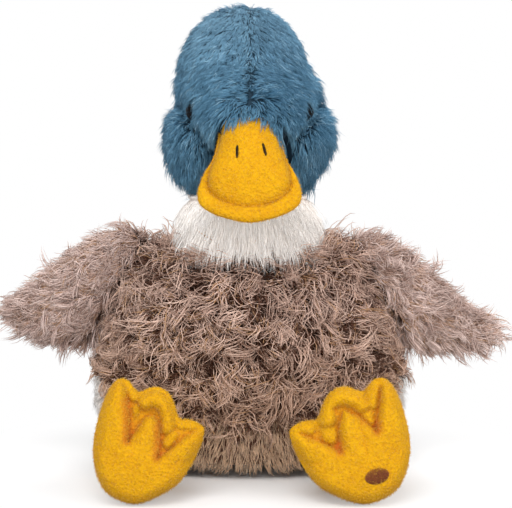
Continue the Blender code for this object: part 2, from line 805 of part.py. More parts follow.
def build_bill(carrier, head_room):
    rim = bill_outline(BILL_RIM_SHARES)
    for name, size, side in (("bill_top_panel", BILL_CREST, 1), ("bill_bottom_panel", BILL_KEEL, -1)):
        edge = side * SEAM_GAP / 2
        outer = [bill_ring(rim, 1.0, lambda _: edge), bill_ring(rim, 1.0, lambda _: side * BILL_RIM)]
        outer += bill_surface(size, side, 0.0, PAD_RING_SHARES[:1] + PAD_RING_SHARES[2:])
        inner = [bill_ring(rim, 1.0, lambda _: edge), bill_ring(rim, BILL_SEAM_SHARE, lambda _: edge)]
        inner += bill_surface(size, side, BILL_PANEL, PAD_RING_SHARES[:1] + PAD_RING_SHARES[2:])
        panel = add_piece(name, *shell_between(np.array(outer), np.array(inner), True), YELLOW_VELOUR, carrier)
        cut(panel, head_room)
        if side > 0:
            seat_nostrils(panel, carrier)
    drop = BILL_PANEL + SEAM_GAP
    top = bill_surface(BILL_CREST, 1, drop, STUFFING_RING_SHARES)
    bottom = bill_surface(BILL_KEEL, -1, drop, STUFFING_RING_SHARES)
    core = shell_between(np.array(top), np.array(bottom), True)
    stuffing = add_piece("bill_stuffing", *core, STUFFING, carrier)
    cut(stuffing, head_room)


def seat_nostrils(panel, carrier):
    """A short bar of satin stitches on each side of the bill's crest, laid along its outer face."""
    skin = BVHTree.FromPolygons([v.co for v in panel.data.vertices], [p.vertices for p in panel.data.polygons])
    place = np.array(place_of(carrier))
    down = Vector(bill_point(0.0, 0.0, -1.0) - bill_point(0.0, 0.0, 0.0)).normalized()
    for name_side, side in (("left", 1), ("right", -1)):
        rings = []
        for far in NOSTRIL_STEP_SHARES:
            wide = NOSTRIL_WIDTH / 2 * domed(far)
            high = NOSTRIL_RISE * domed(far)
            along = NOSTRIL_FROM_TIP + far * NOSTRIL_LENGTH / 2
            ring = []
            for turn in full_turn(TURNED_SEGMENTS // 2):
                across = side * NOSTRIL_SPREAD + wide * math.sin(turn)
                above = Vector(bill_point(across, along, BILL_CREST + BILL_LENGTH) - place)
                hit, _, _, _ = skin.ray_cast(above, down)
                lift = SEAM_GAP + high * (1 - math.cos(turn)) / 2
                ring.append(np.array(hit) + place - np.array(down) * lift)
            rings.append(ring)
        add_piece("nostril_stitch_" + name_side, *solid_from_rings(np.array(rings)), BROWN_THREAD, carrier)


# Wings: two fur panels sewn round their edge, over stuffing, hinged at the top of the root

def wing_outline():
    return smooth_loop([(WING_SPAN * out, -WING_CHORD * down) for out, down in WING_SHARES], PAD_SEGMENTS)


def wing_grid(side, facing, rings, drop, floor):
    centre = np.array((WING_SPAN * WING_CENTRE_SHARES[0], -WING_CHORD * WING_CENTRE_SHARES[1]))
    grid = []
    for share in rings:
        rise = WING_EDGE + (WING_HALF_THICKNESS - WING_EDGE) * domed(share) - drop
        ring = []
        for corner in wing_outline():
            out, up = centre + (corner - centre) * share
            x = side * (WING_ROOT_SPREAD + out)
            ring.append((x, facing * max(rise, floor), WING_ROOT_HEIGHT + up))
        grid.append(ring)
    return grid


def build_wing(name_side, side, carrier, torso_room):
    for name, facing in (("front", -1), ("back", 1)):
        floor = SEAM_GAP / 2
        edge = wing_grid(side, facing, (1.0,), WING_EDGE, floor)
        outer = edge + wing_grid(side, facing, PAD_RING_SHARES[1:], 0.0, floor)
        inner = edge + wing_grid(side, facing, PAD_RING_SHARES[1:], WING_PANEL, floor)
        panel = add_piece(
            f"wing_{name_side}_{name}_panel",
            *shell_between(np.array(outer), np.array(inner), True),
            BROWN_FUR,
            carrier,
        )
        cut(panel, torso_room)
    drop = WING_PANEL + SEAM_GAP
    front = wing_grid(side, -1, STUFFING_RING_SHARES, drop, 0.0)
    back = wing_grid(side, 1, STUFFING_RING_SHARES, drop, 0.0)
    core = shell_between(np.array(front), np.array(back), True)
    stuffing = add_piece(f"wing_{name_side}_stuffing", *core, STUFFING, carrier)
    cut(stuffing, torso_room)


# Legs and feet: a short stuffed tube, and a foot of two velour panels with three toes

def leg_top():
    return LEG_HEIGHT + LEG_RADIUS


def leg_root():
    """Where the torso's front stands at the height of the leg's top."""
    heights = [up * TORSO_HEIGHT for up, _, _, _ in TORSO_SHARES]
    widths = [wide * TORSO_HALF_WIDTH for _, wide, _, _ in TORSO_SHARES]
    fronts = [forward * TORSO_FRONT for _, _, forward, _ in TORSO_SHARES]
    width = float(np.interp(leg_top(), heights, widths))
    front = float(np.interp(leg_top(), heights, fronts))
    return -front * math.sqrt(max(0.0, 1 - (FOOT_SPREAD / width) ** 2)) - JOINT_GAP


def foot_frame(side):
    """The foot's axes at its heel: X outward, Y along the middle toe, Z out of the sole."""
    roll = Matrix.Rotation(-side * FOOT_ROLL, 4, "Y")
    lean = Matrix.Rotation(-FOOT_LEAN, 4, "X")
    stand = Matrix.Rotation(math.pi / 2, 4, "X")
    place = Matrix.Translation((side * FOOT_SPREAD, -FOOT_REACH_FORWARD, HEEL_HEIGHT))
    return place @ lean @ roll @ stand @ Matrix.Scale(side, 4, (1, 0, 0))


def foot_outline(extra):
    radius = FOOT_RADIUS + extra
    corners = []
    for degrees, share in FOOT_OUTLINE_SHARES:
        turn = math.radians(degrees)
        corners.append((radius * share * math.sin(turn), radius * share * math.cos(turn)))
    return smooth_loop(corners, FOOT_SEGMENTS)


def toe_groove(across, along):
    """How deep, from 0 to 1, a groove between two toes is at a place on the foot."""
    deepest = 0.0
    for angle in TOE_GROOVE_ANGLES:
        outward = along * math.cos(angle) + across * math.sin(angle)
        aside = across * math.cos(angle) - along * math.sin(angle)
        reach = (outward / FOOT_RADIUS - TOE_GROOVE_FROM_SHARE) / (TOE_GROOVE_TO_SHARE - TOE_GROOVE_FROM_SHARE)
        fade = min(1.0, max(0.0, reach / TOE_GROOVE_FADE_SHARE))
        deepest = max(deepest, fade * math.exp(-((aside / TOE_GROOVE_WIDTH) ** 2)))
    return deepest


def foot_grid(side, facing, rings, drop, floor, extra=0.0):
    frame = foot_frame(side)
    centre = np.array((0.0, FOOT_CENTRE_SHARE * FOOT_RADIUS))
    grid = []
    for share in rings:
        ring = []
        for corner in foot_outline(extra):
            across, along = centre + (corner - centre) * share
            rise = (FOOT_HALF_THICKNESS - FOOT_EDGE) * domed(share)
            rise *= 1 - TOE_GROOVE_DEPTH_SHARE * toe_groove(across, along)
            lift = facing * max(FOOT_EDGE + rise + extra - drop, floor)
            ring.append(frame @ Vector((across, along, lift)))
        grid.append(ring)
    return grid


def build_foot(name_side, side, carrier):
    floor = SEAM_GAP / 2
    for name, facing in (("sole", 1), ("top", -1)):
        edge = foot_grid(side, facing, (1.0,), FOOT_EDGE, floor)
        outer = edge + foot_grid(side, facing, PAD_RING_SHARES[1:], 0.0, floor)
        inner = edge + foot_grid(side, facing, PAD_RING_SHARES[1:], FOOT_PANEL, floor)
        grid = shell_between(np.array(outer), np.array(inner), True)
        add_piece(f"foot_{name_side}_{name}_panel", *grid, YELLOW_VELOUR, carrier)
    drop = FOOT_PANEL + SEAM_GAP
    front = foot_grid(side, 1, STUFFING_RING_SHARES, drop, 0.0)
    back = foot_grid(side, -1, STUFFING_RING_SHARES, drop, 0.0)
    core = shell_between(np.array(front), np.array(back), True)
    add_piece(f"foot_{name_side}_stuffing", *core, STUFFING, carrier)


def leg_rings(side, inset):
    start = leg_root() + LEG_SUNK
    reach = FOOT_REACH_FORWARD + start
    rings = []
    for step, share in enumerate(LEG_SHARES):
        y = start - reach * step / (len(LEG_SHARES) - 1)
        radius = LEG_RADIUS * share - inset
        rings.append(
            [
                (side * FOOT_SPREAD + radius * math.sin(a), y, LEG_HEIGHT + radius * math.cos(a))
                for a in full_turn(LEG_SEGMENTS)
            ]
        )
    return np.array(rings)


def build_leg(name_side, side, carrier, torso_room):
    front = foot_grid(side, 1, PAD_RING_SHARES, 0.0, SEAM_GAP, SEAM_GAP)
    back = foot_grid(side, -1, PAD_RING_SHARES, 0.0, SEAM_GAP, SEAM_GAP)
    foot_room = add_guide(f"foot_room_{name_side}", *shell_between(np.array(front), np.array(back), True))
    cover = shell_between(leg_rings(side, 0.0), leg_rings(side, LEG_WALL), True)
    tube = add_piece(f"leg_{name_side}_cover", *cover, YELLOW_VELOUR, carrier)
    core = solid_from_rings(leg_rings(side, LEG_WALL + SEAM_GAP))
    stuffing = add_piece(f"leg_{name_side}_stuffing", *core, STUFFING, carrier)
    cut(tube, torso_room, foot_room)
    cut(stuffing, torso_room, foot_room)


def build_duck():
    clear_scene()
    pivots = build_pivots()
    neck_room = build_neck_room()
    torso_room = add_guide("torso_room", *solid_from_rings(torso_rings(-SEAM_GAP, full_turn(BODY_SEGMENTS))))
    head_room = add_guide("head_room", *solid_from_rings(head_rings(-SEAM_GAP, full_turn(HEAD_SEGMENTS))))
    build_torso_panels(neck_room)
    build_underside()
    build_torso_inside(neck_room)
    build_tail(torso_room)
    build_neck(pivots["neck"], build_head_swing())
    build_head(pivots["head"])
    build_bill(pivots["head"], head_room)
    for name_side, side in (("left", 1), ("right", -1)):
        build_wing(name_side, side, pivots["wing_" + name_side], torso_room)
        build_foot(name_side, side, pivots["leg_" + name_side])
        build_leg(name_side, side, pivots["leg_" + name_side], torso_room)


build_duck()
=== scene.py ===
# %% [markdown]
# # A sitting plush duck
# A plush duck is a sewn skin of fur cloth over loose filling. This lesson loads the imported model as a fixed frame,
# then dresses it: each fur piece gets a backing cloth and a pile of real strands, and the velour bill and feet are
# sculpted from their sewn outlines.

# %% The frame
import json
import math

import bmesh
import bpy
import numpy as np
from mathutils import Matrix, Vector
from mathutils.bvhtree import BVHTree
from mathutils.kdtree import KDTree

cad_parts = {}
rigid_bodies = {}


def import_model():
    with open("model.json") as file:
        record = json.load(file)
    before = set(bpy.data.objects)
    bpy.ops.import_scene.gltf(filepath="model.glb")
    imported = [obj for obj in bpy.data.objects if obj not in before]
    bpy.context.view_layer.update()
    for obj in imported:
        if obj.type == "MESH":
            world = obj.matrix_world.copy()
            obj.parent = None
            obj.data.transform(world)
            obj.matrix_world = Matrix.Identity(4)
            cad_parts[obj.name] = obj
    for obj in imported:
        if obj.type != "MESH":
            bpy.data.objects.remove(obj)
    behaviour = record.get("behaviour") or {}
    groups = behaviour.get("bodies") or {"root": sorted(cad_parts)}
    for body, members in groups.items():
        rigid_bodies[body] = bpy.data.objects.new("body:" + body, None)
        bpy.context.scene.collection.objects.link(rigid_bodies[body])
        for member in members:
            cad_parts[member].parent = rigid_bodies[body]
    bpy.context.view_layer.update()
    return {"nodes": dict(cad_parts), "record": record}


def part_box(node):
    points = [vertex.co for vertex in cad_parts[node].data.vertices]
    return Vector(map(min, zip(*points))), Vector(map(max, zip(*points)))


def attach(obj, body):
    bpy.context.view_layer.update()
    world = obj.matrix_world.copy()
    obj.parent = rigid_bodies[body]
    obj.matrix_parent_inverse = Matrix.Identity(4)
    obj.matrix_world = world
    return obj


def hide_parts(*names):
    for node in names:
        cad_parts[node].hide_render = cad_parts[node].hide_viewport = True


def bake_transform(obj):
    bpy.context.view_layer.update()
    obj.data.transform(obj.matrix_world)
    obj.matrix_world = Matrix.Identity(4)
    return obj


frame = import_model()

MM = 0.001

# %% [markdown]
# ## Camera
# The photograph is taken from a little above, from more than a metre away, with a long lens. The camera looks at a
# point inside the body and stands slightly to the side, so that the duck is left of the picture's middle.

# %% Camera
CAMERA_DISTANCE = 1146.0 * MM
CAMERA_ASIDE = 3.3 * MM
CAMERA_AIM_HEIGHT = 115.0 * MM
CAMERA_ELEVATION = math.radians(6.0)
CAMERA_LENS_MM = 148.7


def link(thing):
    bpy.context.scene.collection.objects.link(thing)
    return thing


def make_camera():
    data = bpy.data.cameras.new("camera")
    data.lens = CAMERA_LENS_MM
    camera = link(bpy.data.objects.new("camera", data))
    back = Vector((0.0, -math.cos(CAMERA_ELEVATION), math.sin(CAMERA_ELEVATION)))
    camera.location = Vector((CAMERA_ASIDE, 0.0, CAMERA_AIM_HEIGHT)) + back * CAMERA_DISTANCE
    camera.rotation_euler = (-back).to_track_quat("-Z", "Y").to_euler()
    bpy.context.scene.camera = camera


make_camera()
print("the camera stands", round(CAMERA_DISTANCE / MM), "mm away")

# %% [markdown]
# ## Shader maths in plain Python
# Node trees are easier to read as sums. `Signal` wraps an output socket, so that `1 - mask` adds a Math node, and
# `Paint` is one material with a single method that adds any other node: its type, its settings, then its inputs.


# %% Signals and paints
class Signal:
    """A number that a node gives, which can be added to, multiplied and compared."""

    def __init__(self, paint, socket):
        self.paint = paint
        self.socket = socket

    def __add__(self, other):
        return self.paint.math("ADD", self, other)

    def __radd__(self, other):
        return self.paint.math("ADD", other, self)

    def __sub__(self, other):
        return self.paint.math("SUBTRACT", self, other)

    def __rsub__(self, other):
        return self.paint.math("SUBTRACT", other, self)

    def __mul__(self, other):
        return self.paint.math("MULTIPLY", self, other)

    def __rmul__(self, other):
        return self.paint.math("MULTIPLY", other, self)

    def __pow__(self, other):
        return self.paint.math("POWER", self, other)

    def __gt__(self, other):
        return self.paint.math("GREATER_THAN", self, other)

    def clipped(self):
        return self.paint.math("MINIMUM", self.paint.math("MAXIMUM", self, 0.0), 1.0)


class Paint:
    """One material, built up node by node."""

    def __init__(self, name):
        self.material = bpy.data.materials.new(name)
        self.material.use_nodes = True
        self.tree = self.material.node_tree
        self.tree.nodes.clear()

    def node(self, kind, settings, inputs, output=0):
        made = self.tree.nodes.new(kind)
        for key, value in settings.items():
            if key == "stops":
                self.set_stops(made.color_ramp, value)
            else:
                setattr(made, key, value)
        for key, value in inputs.items():
            self.feed(made.inputs[key], value)
        return Signal(self, made.outputs[output])

    def math(self, operation, first, second=0.0):
        return self.node("ShaderNodeMath", {"operation": operation}, {0: first, 1: second})

    def set_stops(self, ramp, stops):
        while len(ramp.elements) < len(stops):
            ramp.elements.new(1.0)
        for element, (place, colour) in zip(ramp.elements, stops):
            element.position = place
            element.color = (*colour, 1.0)

    def feed(self, socket, value):
        if isinstance(value, Signal):
            self.tree.links.new(value.socket, socket)
        elif isinstance(value, tuple) and socket.type == "RGBA":
            socket.default_value = (*value, 1.0)
        else:
            socket.default_value = value

    def place(self):
        return self.node("ShaderNodeTexCoord", {}, {}, "Object")

    def noise(self, size, detail=2.0, stretch=(1.0, 1.0, 1.0)):
        """Smooth noise of about this size, from 0 to 1."""
        here = self.node("ShaderNodeVectorMath", {"operation": "MULTIPLY"}, {0: self.place(), 1: stretch})
        return self.node("ShaderNodeTexNoise", {}, {"Vector": here, "Scale": 1 / size, "Detail": detail}, "Fac")

    def kept(self, attribute):
        return self.node("ShaderNodeAttribute", {"attribute_name": attribute}, {}, "Fac")

    def mix(self, share, first, second):
        """A colour between two others."""
        return self.node(
            "ShaderNodeMix", {"data_type": "RGBA", "clamp_factor": True}, {0: share, 6: first, 7: second}, 2
        )

    def bump(self, height, distance, strength=1.0):
        return self.node("ShaderNodeBump", {}, {"Height": height, "Distance": distance, "Strength": strength})

    def finish(self, colour, roughness, **others):
        inputs = {"Base Color": colour, "Roughness": roughness}
        inputs.update({key.replace("_", " "): value for key, value in others.items()})
        shader = self.node("ShaderNodeBsdfPrincipled", {}, inputs)
        self.node_output(shader)
        return self.material

    def node_output(self, shader):
        output = self.tree.nodes.new("ShaderNodeOutputMaterial")
        self.tree.links.new(shader.socket, output.inputs["Surface"])


print("materials are written as sums from here on")

# %% [markdown]
# ## The floor and the light
# A plain pale floor that keeps the duck's shadow and fades to pure white away from it, so that no horizon shows.
# The light is a wide soft lamp above and in front, a weaker one on the other side, and an even pale sky.

# %% Floor, sky and lamps
FLOOR_HALF_SIZE = 3000.0 * MM
SHADOW_RADIUS = 80.0 * MM
SHADOW_FADE = 90.0 * MM
FLOOR_COLOUR = (0.97, 0.97, 0.97)
FLOOR_GLOW_COLOUR = (0.55, 0.55, 0.55)
SKY_STRENGTH = 0.74
WHITE = (1.0, 1.0, 1.0)


def seen_directly(paint):
    """1 for rays that come from the camera, a mirror or a clear solid, and 0 for the light on the object."""
    path = paint.tree.nodes.new("ShaderNodeLightPath")
    total = Signal(paint, path.outputs["Is Camera Ray"])
    for name in ("Is Glossy Ray", "Is Transmission Ray"):
        total = total + Signal(paint, path.outputs[name])
    return total.clipped()


def make_floor():
    mesh = bpy.data.meshes.new("floor")
    corners = [(x * FLOOR_HALF_SIZE, y * FLOOR_HALF_SIZE, 0.0) for x, y in ((-1, -1), (1, -1), (1, 1), (-1, 1))]
    mesh.from_pydata(corners, [], [(0, 1, 2, 3)])
    floor = link(bpy.data.objects.new("floor", mesh))
    paint = Paint("floor_paper")
    away = paint.node("ShaderNodeVectorMath", {"operation": "LENGTH"}, {0: paint.place()}, "Value")
    fade = ((away - SHADOW_RADIUS) * (1 / SHADOW_FADE)).clipped()
    matte = paint.node("ShaderNodeBsdfDiffuse", {}, {"Color": FLOOR_COLOUR})
    plain = paint.node("ShaderNodeEmission", {}, {"Color": WHITE, "Strength": 1.0})
    seen = paint.node("ShaderNodeMixShader", {}, {0: fade, 1: matte, 2: plain})
    thrown = paint.node("ShaderNodeBsdfDiffuse", {}, {"Color": FLOOR_GLOW_COLOUR})
    shader = paint.node("ShaderNodeMixShader", {}, {0: seen_directly(paint), 1: thrown, 2: seen})
    paint.node_output(shader)
    mesh.materials.append(paint.material)


def make_sky():
    world = bpy.data.worlds.new("sky")
    bpy.context.scene.world = world
    world.use_nodes = True
    sky = world.node_tree.nodes["Background"]
    sky.inputs["Color"].default_value = (*WHITE, 1.0)
    path = world.node_tree.nodes.new("ShaderNodeLightPath")
    shown = world.node_tree.nodes.new("ShaderNodeMath")
    shown.operation = "MAXIMUM"
    world.node_tree.links.new(path.outputs["Is Camera Ray"], shown.inputs[0])
    world.node_tree.links.new(path.outputs["Is Transmission Ray"], shown.inputs[1])
    strength = world.node_tree.nodes.new("ShaderNodeMapRange")
    strength.inputs["To Min"].default_value = SKY_STRENGTH
    strength.inputs["To Max"].default_value = 1.0
    world.node_tree.links.new(shown.outputs[0], strength.inputs["Value"])
    world.node_tree.links.new(strength.outputs[0], sky.inputs["Strength"])


def make_lamp(name, place, size, watts):
    data = bpy.data.lights.new(name, "AREA")
    data.shape = "DISK"
    data.size = size
    data.energy = watts
    lamp = link(bpy.data.objects.new(name, data))
    lamp.location = place
    aim = Vector((0.0, 0.0, CAMERA_AIM_HEIGHT)) - Vector(place)
    lamp.rotation_euler = aim.to_track_quat("-Z", "Y").to_euler()


LAMPS = {
    "key_lamp": ((-150.0 * MM, -1000.0 * MM, 1000.0 * MM), 800.0 * MM, 9.5),
    "front_lamp": ((0.0, -1500.0 * MM, 350.0 * MM), 900.0 * MM, 4.9),
    "fill_lamp": ((900.0 * MM, -900.0 * MM, 650.0 * MM), 900.0 * MM, 5.3),
    "back_lamp": ((150.0 * MM, 900.0 * MM, 1000.0 * MM), 700.0 * MM, 4.0),
}
make_floor()
make_sky()
for lamp_name, (lamp_place, lamp_size, lamp_watts) in LAMPS.items():
    make_lamp(lamp_name, lamp_place, lamp_size, lamp_watts)
bpy.context.scene.view_settings.view_transform = "Standard"
print(len(LAMPS), "lamps")

# %% [markdown]
# ## Meshes from arrays
# A pile has tens of thousands of strands, so its mesh is filled from number arrays in one go. Each fur piece starts
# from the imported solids: they are joined, remeshed as one closed skin, and drawn in by the depth of the pile.

# %% Helpers for meshes
SKIN_VOXEL = 2.4 * MM


def mesh_of(name, points, *face_groups):
    """A smooth mesh from arrays of points and of three- and four-cornered faces."""
    mesh = bpy.data.meshes.new(name)
    loops = np.concatenate([faces.ravel() for faces in face_groups]).astype(np.int32)
    sizes = np.concatenate([np.full(len(faces), faces.shape[1]) for faces in face_groups])
    mesh.vertices.add(len(points))
    mesh.vertices.foreach_set("co", np.ascontiguousarray(points, np.float32).ravel())
    mesh.loops.add(len(loops))
    mesh.loops.foreach_set("vertex_index", loops)
    mesh.polygons.add(len(sizes))
    mesh.polygons.foreach_set("loop_start", np.concatenate([[0], np.cumsum(sizes)[:-1]]).astype(np.int32))
    mesh.update(calc_edges=True)
    mesh.shade_smooth()
    return mesh


def keep_numbers(mesh, name, values):
    """Stores a number for each point, which a material can read."""
    layer = mesh.attributes.new(name, "FLOAT", "POINT")
    layer.data.foreach_set("value", np.ascontiguousarray(values, np.float32))


def add_piece(name, mesh, material, body, replaced=(), blend=None):
    piece = link(bpy.data.objects.new(name, mesh))
    mesh.materials.clear()
    mesh.materials.append(material)
    if replaced:
        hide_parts(*replaced)
    if blend:
        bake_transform(piece)
    else:
        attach(piece, body)
    return piece


def shaped(mesh, *steps):
    """The mesh after modifiers, each given as its kind and its settings."""
    holder = link(bpy.data.objects.new("holder", mesh))
    for kind, settings in steps:
        step = holder.modifiers.new(kind, kind)
        for key, value in settings.items():
            setattr(step, key, value)
    graph = bpy.context.evaluated_depsgraph_get()
    result = bpy.data.meshes.new_from_object(holder.evaluated_get(graph))
    bpy.data.objects.remove(holder)
    bpy.data.meshes.remove(mesh)
    return result


def largest_island(mesh):
    """Leaves out all but the largest connected part."""
    shape = bmesh.new()
    shape.from_mesh(mesh)
    unseen = set(shape.verts)
    best = set()
    while unseen:
        island = set()
        front = [unseen.pop()]
        while front:
            vert = front.pop()
            island.add(vert)
            for edge in vert.link_edges:
                other = edge.other_vert(vert)
                if other in unseen:
                    unseen.remove(other)
                    front.append(other)
        if len(island) > len(best):
            best = island
    bmesh.ops.delete(shape, geom=[vert for vert in shape.verts if vert not in best], context="VERTS")
    shape.to_mesh(mesh)
    shape.free()
    mesh.shade_smooth()
    return mesh


def skin_under(name, nodes, depth, voxel=SKIN_VOXEL):
    """A closed skin that lies this deep under the outer faces of the named solids."""
    mesh = bpy.data.meshes.new(name)
    shape = bmesh.new()
    for node in nodes:
        shape.from_mesh(frame["nodes"][node].data)
    shape.to_mesh(mesh)
    shape.free()
    mesh = shaped(
        mesh,
        ("REMESH", {"mode": "VOXEL", "voxel_size": voxel}),
        ("SMOOTH", {"factor": 0.5, "iterations": 8}),
        ("DISPLACE", {"strength": -depth, "mid_level": 0.0}),
        ("SMOOTH", {"factor": 0.5, "iterations": 6}),
    )
    mesh.name = name
    return largest_island(mesh)


def arrays_of(mesh):
    """Points, their normals and triangles of a mesh."""
    mesh.calc_loop_triangles()
    points = np.empty(len(mesh.vertices) * 3)
    normals = np.empty(len(mesh.vertices) * 3)
    triangles = np.empty(len(mesh.loop_triangles) * 3, np.int32)
    mesh.vertices.foreach_get("co", points)
    mesh.vertices.foreach_get("normal", normals)
    mesh.loop_triangles.foreach_get("vertices", triangles)
    return points.reshape(-1, 3), normals.reshape(-1, 3), triangles.reshape(-1, 3)


def distance_to_line(places, line):
    """How far each place is from a line of points, and how far along it the nearest point is, from 0 to 1."""
    line = np.array(line)
    lengths = np.linalg.norm(np.diff(line, axis=0), axis=1)
    before = np.concatenate([[0.0], np.cumsum(lengths)[:-1]])
    nearest = np.full(len(places), np.inf)
    share = np.zeros(len(places))
    for start, end, length, passed in zip(line[:-1], line[1:], lengths, before):
        way = (end - start) / length
        reach = np.clip((places - start) @ way, 0, length)
        away = np.linalg.norm(places - start - reach[:, None] * way, axis=1)
        closer = away < nearest
        nearest = np.where(closer, away, nearest)
        share = np.where(closer, (passed + reach) / lengths.sum(), share)
    return nearest, share


def move_points(mesh, places):
    mesh.vertices.foreach_set("co", np.ascontiguousarray(places, np.float32).ravel())
    mesh.update()
    return mesh


print("skins are remeshed at", round(SKIN_VOXEL / MM, 1), "mm")

# %% [markdown]
# ## A pile of strands
# Faux fur is a knitted backing with fibres that stand up, lean over and cling together in locks. A strand starts at
# a random place on the skin, leans from the skin's normal towards the way the fur is combed, sweeps and curls on
# its way, and is then pulled towards the nearest leading strand. Each strand becomes a closed three-sided tube.


# %% Growing strands
def unit(vectors):
    return vectors / np.maximum(np.linalg.norm(vectors, axis=-1, keepdims=True), 1e-12)


def scatter(mesh, count, rng):
    """Random places on a skin with their normals, evenly over its area."""
    points, normals, triangles = arrays_of(mesh)
    corners = points[triangles]
    areas = np.linalg.norm(np.cross(corners[:, 1] - corners[:, 0], corners[:, 2] - corners[:, 0]), axis=1)
    chosen = rng.choice(len(triangles), size=count, p=areas / areas.sum())
    first, second = rng.random((2, count))
    fold = first + second > 1
    first, second = np.where(fold, 1 - first, first), np.where(fold, 1 - second, second)
    shares = np.stack([1 - first - second, first, second], axis=1)[:, :, None]
    return (corners[chosen] * shares).sum(axis=1), unit((normals[triangles][chosen] * shares).sum(axis=1))


def strand_paths(roots, normals, flow, pile, rng):
    """The line of each strand, from its root to its tip. Where a pile is pressed, it leans more from the root on."""
    count = len(roots)
    along = np.linspace(0, 1, pile["steps"] + 1)
    ahead = unit(flow - normals * (flow * normals).sum(axis=1, keepdims=True))
    aside = np.cross(normals, ahead)
    turn = rng.normal(0, pile["stray"], count)[:, None] + rng.normal(0, pile["sweep"], count)[:, None] * along
    lean = pile["root_lean"] + (pile["tip_lean"] - pile["root_lean"]) * along
    lean = lean + rng.normal(0, pile["lean_spread"], count)[:, None]
    if "pressed" in pile:
        lean = lean + pile["pressed"](roots)[:, None] * (1 - 0.6 * along)
    heading = ahead[:, None] * np.cos(turn)[..., None] + aside[:, None] * np.sin(turn)[..., None]
    steps = normals[:, None] * np.cos(lean)[..., None] + heading * np.sin(lean)[..., None]
    steps[:, :, 2] -= pile["droop"] * along
    lengths = pile["length"] * np.clip(rng.normal(1, pile["length_spread"], count), 0.35, 1.7)
    steps = unit(steps[:, :-1]) * (lengths / pile["steps"])[:, None, None]
    paths = roots[:, None] + np.concatenate([np.zeros((count, 1, 3)), np.cumsum(steps, axis=1)], axis=1)
    phase = rng.uniform(0, 2 * math.pi, count)[:, None] + 2 * math.pi * pile["curls"] * along
    swing = (aside[:, None] * np.sin(phase)[..., None] + normals[:, None] * np.cos(phase)[..., None] * 0.6)
    return paths + (swing - swing[:, :1]) * (pile["curl"] * along)[None, :, None]


def gather(paths, roots, pile, rng):
    """Pulls each strand towards the nearest leading strand, more so at its tip."""
    leaders = rng.choice(len(roots), size=max(1, int(len(roots) / pile["lock"])), replace=False)
    tree = KDTree(len(leaders))
    for index, leader in enumerate(leaders):
        tree.insert(roots[leader], index)
    tree.balance()
    nearest = np.array([tree.find(root)[1] for root in roots])
    along = np.linspace(0, 1, paths.shape[1])
    pull = pile["cling"] * along ** pile["cling_from"]
    pull = pull[None] * rng.uniform(0.55, 1.0, len(roots))[:, None]
    led = paths[leaders][nearest]
    return paths + (led - paths) * pull[..., None], rng.random(len(leaders))[nearest]


def strand_mesh(name, paths, across, radius, chance, lock_chance):
    """Closed three-sided tubes along the paths, each with its own small cell of a UV map."""
    count, rings, _ = paths.shape
    body = rings - 1
    tangent = unit(np.gradient(paths, axis=1))
    wide = unit(across[:, None] - tangent * (across[:, None] * tangent).sum(axis=2, keepdims=True))
    high = np.cross(tangent, wide)
    along = np.linspace(0, 1, rings)
    thickness = radius[:, None] * np.sqrt(1 - along[:body] ** 2 * 0.85)
    corners = []
    for corner in range(3):
        angle = 2 * math.pi * corner / 3
        corners.append(wide[:, :body] * math.cos(angle) + high[:, :body] * math.sin(angle))
    tube = paths[:, :body, None] + np.stack(corners, axis=2) * thickness[..., None, None]
    points = np.concatenate([tube.reshape(count, -1, 3), paths[:, -1:]], axis=1)
    size = body * 3 + 1
    starts = (np.arange(count) * size)[:, None, None]
    quads = []
    for ring in range(body - 1):
        for corner in range(3):
            after = (corner + 1) % 3
            low = ring * 3
            quads.append((low + corner, low + after, low + 3 + after, low + 3 + corner))
    last = (body - 1) * 3
    tips = [(last + corner, last + (corner + 1) % 3, size - 1) for corner in range(3)] + [(2, 1, 0)]
    quads = (starts + np.array(quads)[None]).reshape(-1, 4)
    tips = (starts + np.array(tips)[None]).reshape(-1, 3)
    mesh = mesh_of(name, points.reshape(-1, 3), quads, tips)
    heights = np.concatenate([np.repeat(along[:body], 3), [1.0]])
    keep_numbers(mesh, "along", np.tile(heights, count))
    keep_numbers(mesh, "chance", np.repeat(chance, size))
    keep_numbers(mesh, "lock_chance", np.repeat(lock_chance, size))
    lay_out(mesh, count, size, heights)
    return mesh


def lay_out(mesh, count, size, heights):
    """Gives each strand its own cell, with its root at the cell's foot and its tip at the top."""
    columns = math.ceil(math.sqrt(count * 3))
    rows = math.ceil(count / columns)
    vertices = np.empty(len(mesh.loops), np.int32)
    mesh.loops.foreach_get("vertex_index", vertices)
    strand, corner = vertices // size, vertices % size
    wide = np.where(corner == size - 1, 0.5, (corner % 3) / 2)
    across = (strand % columns + 0.2 + 0.6 * wide) / columns
    up = (strand // columns + 0.1 + 0.8 * heights[corner]) / rows
    layer = mesh.uv_layers.new(name="OFBake")
    layer.data.foreach_set("uv", np.stack([across, up], axis=1).astype(np.float32).ravel())


def outside_of(walls, places, least):
    """Which places are outside all the walls, by at least this much."""
    kept = np.ones(len(places), bool)
    for wall in walls:
        for index, place in enumerate(places):
            hit, normal, _, distance = wall.find_nearest(Vector(place))
            above = (Vector(place) - hit).dot(normal) > 0
            if not above or distance < least:
                kept[index] = False
    return kept


def wall_of(mesh):
    points, _, triangles = arrays_of(mesh)
    return BVHTree.FromPolygons([Vector(point) for point in points], triangles.tolist())


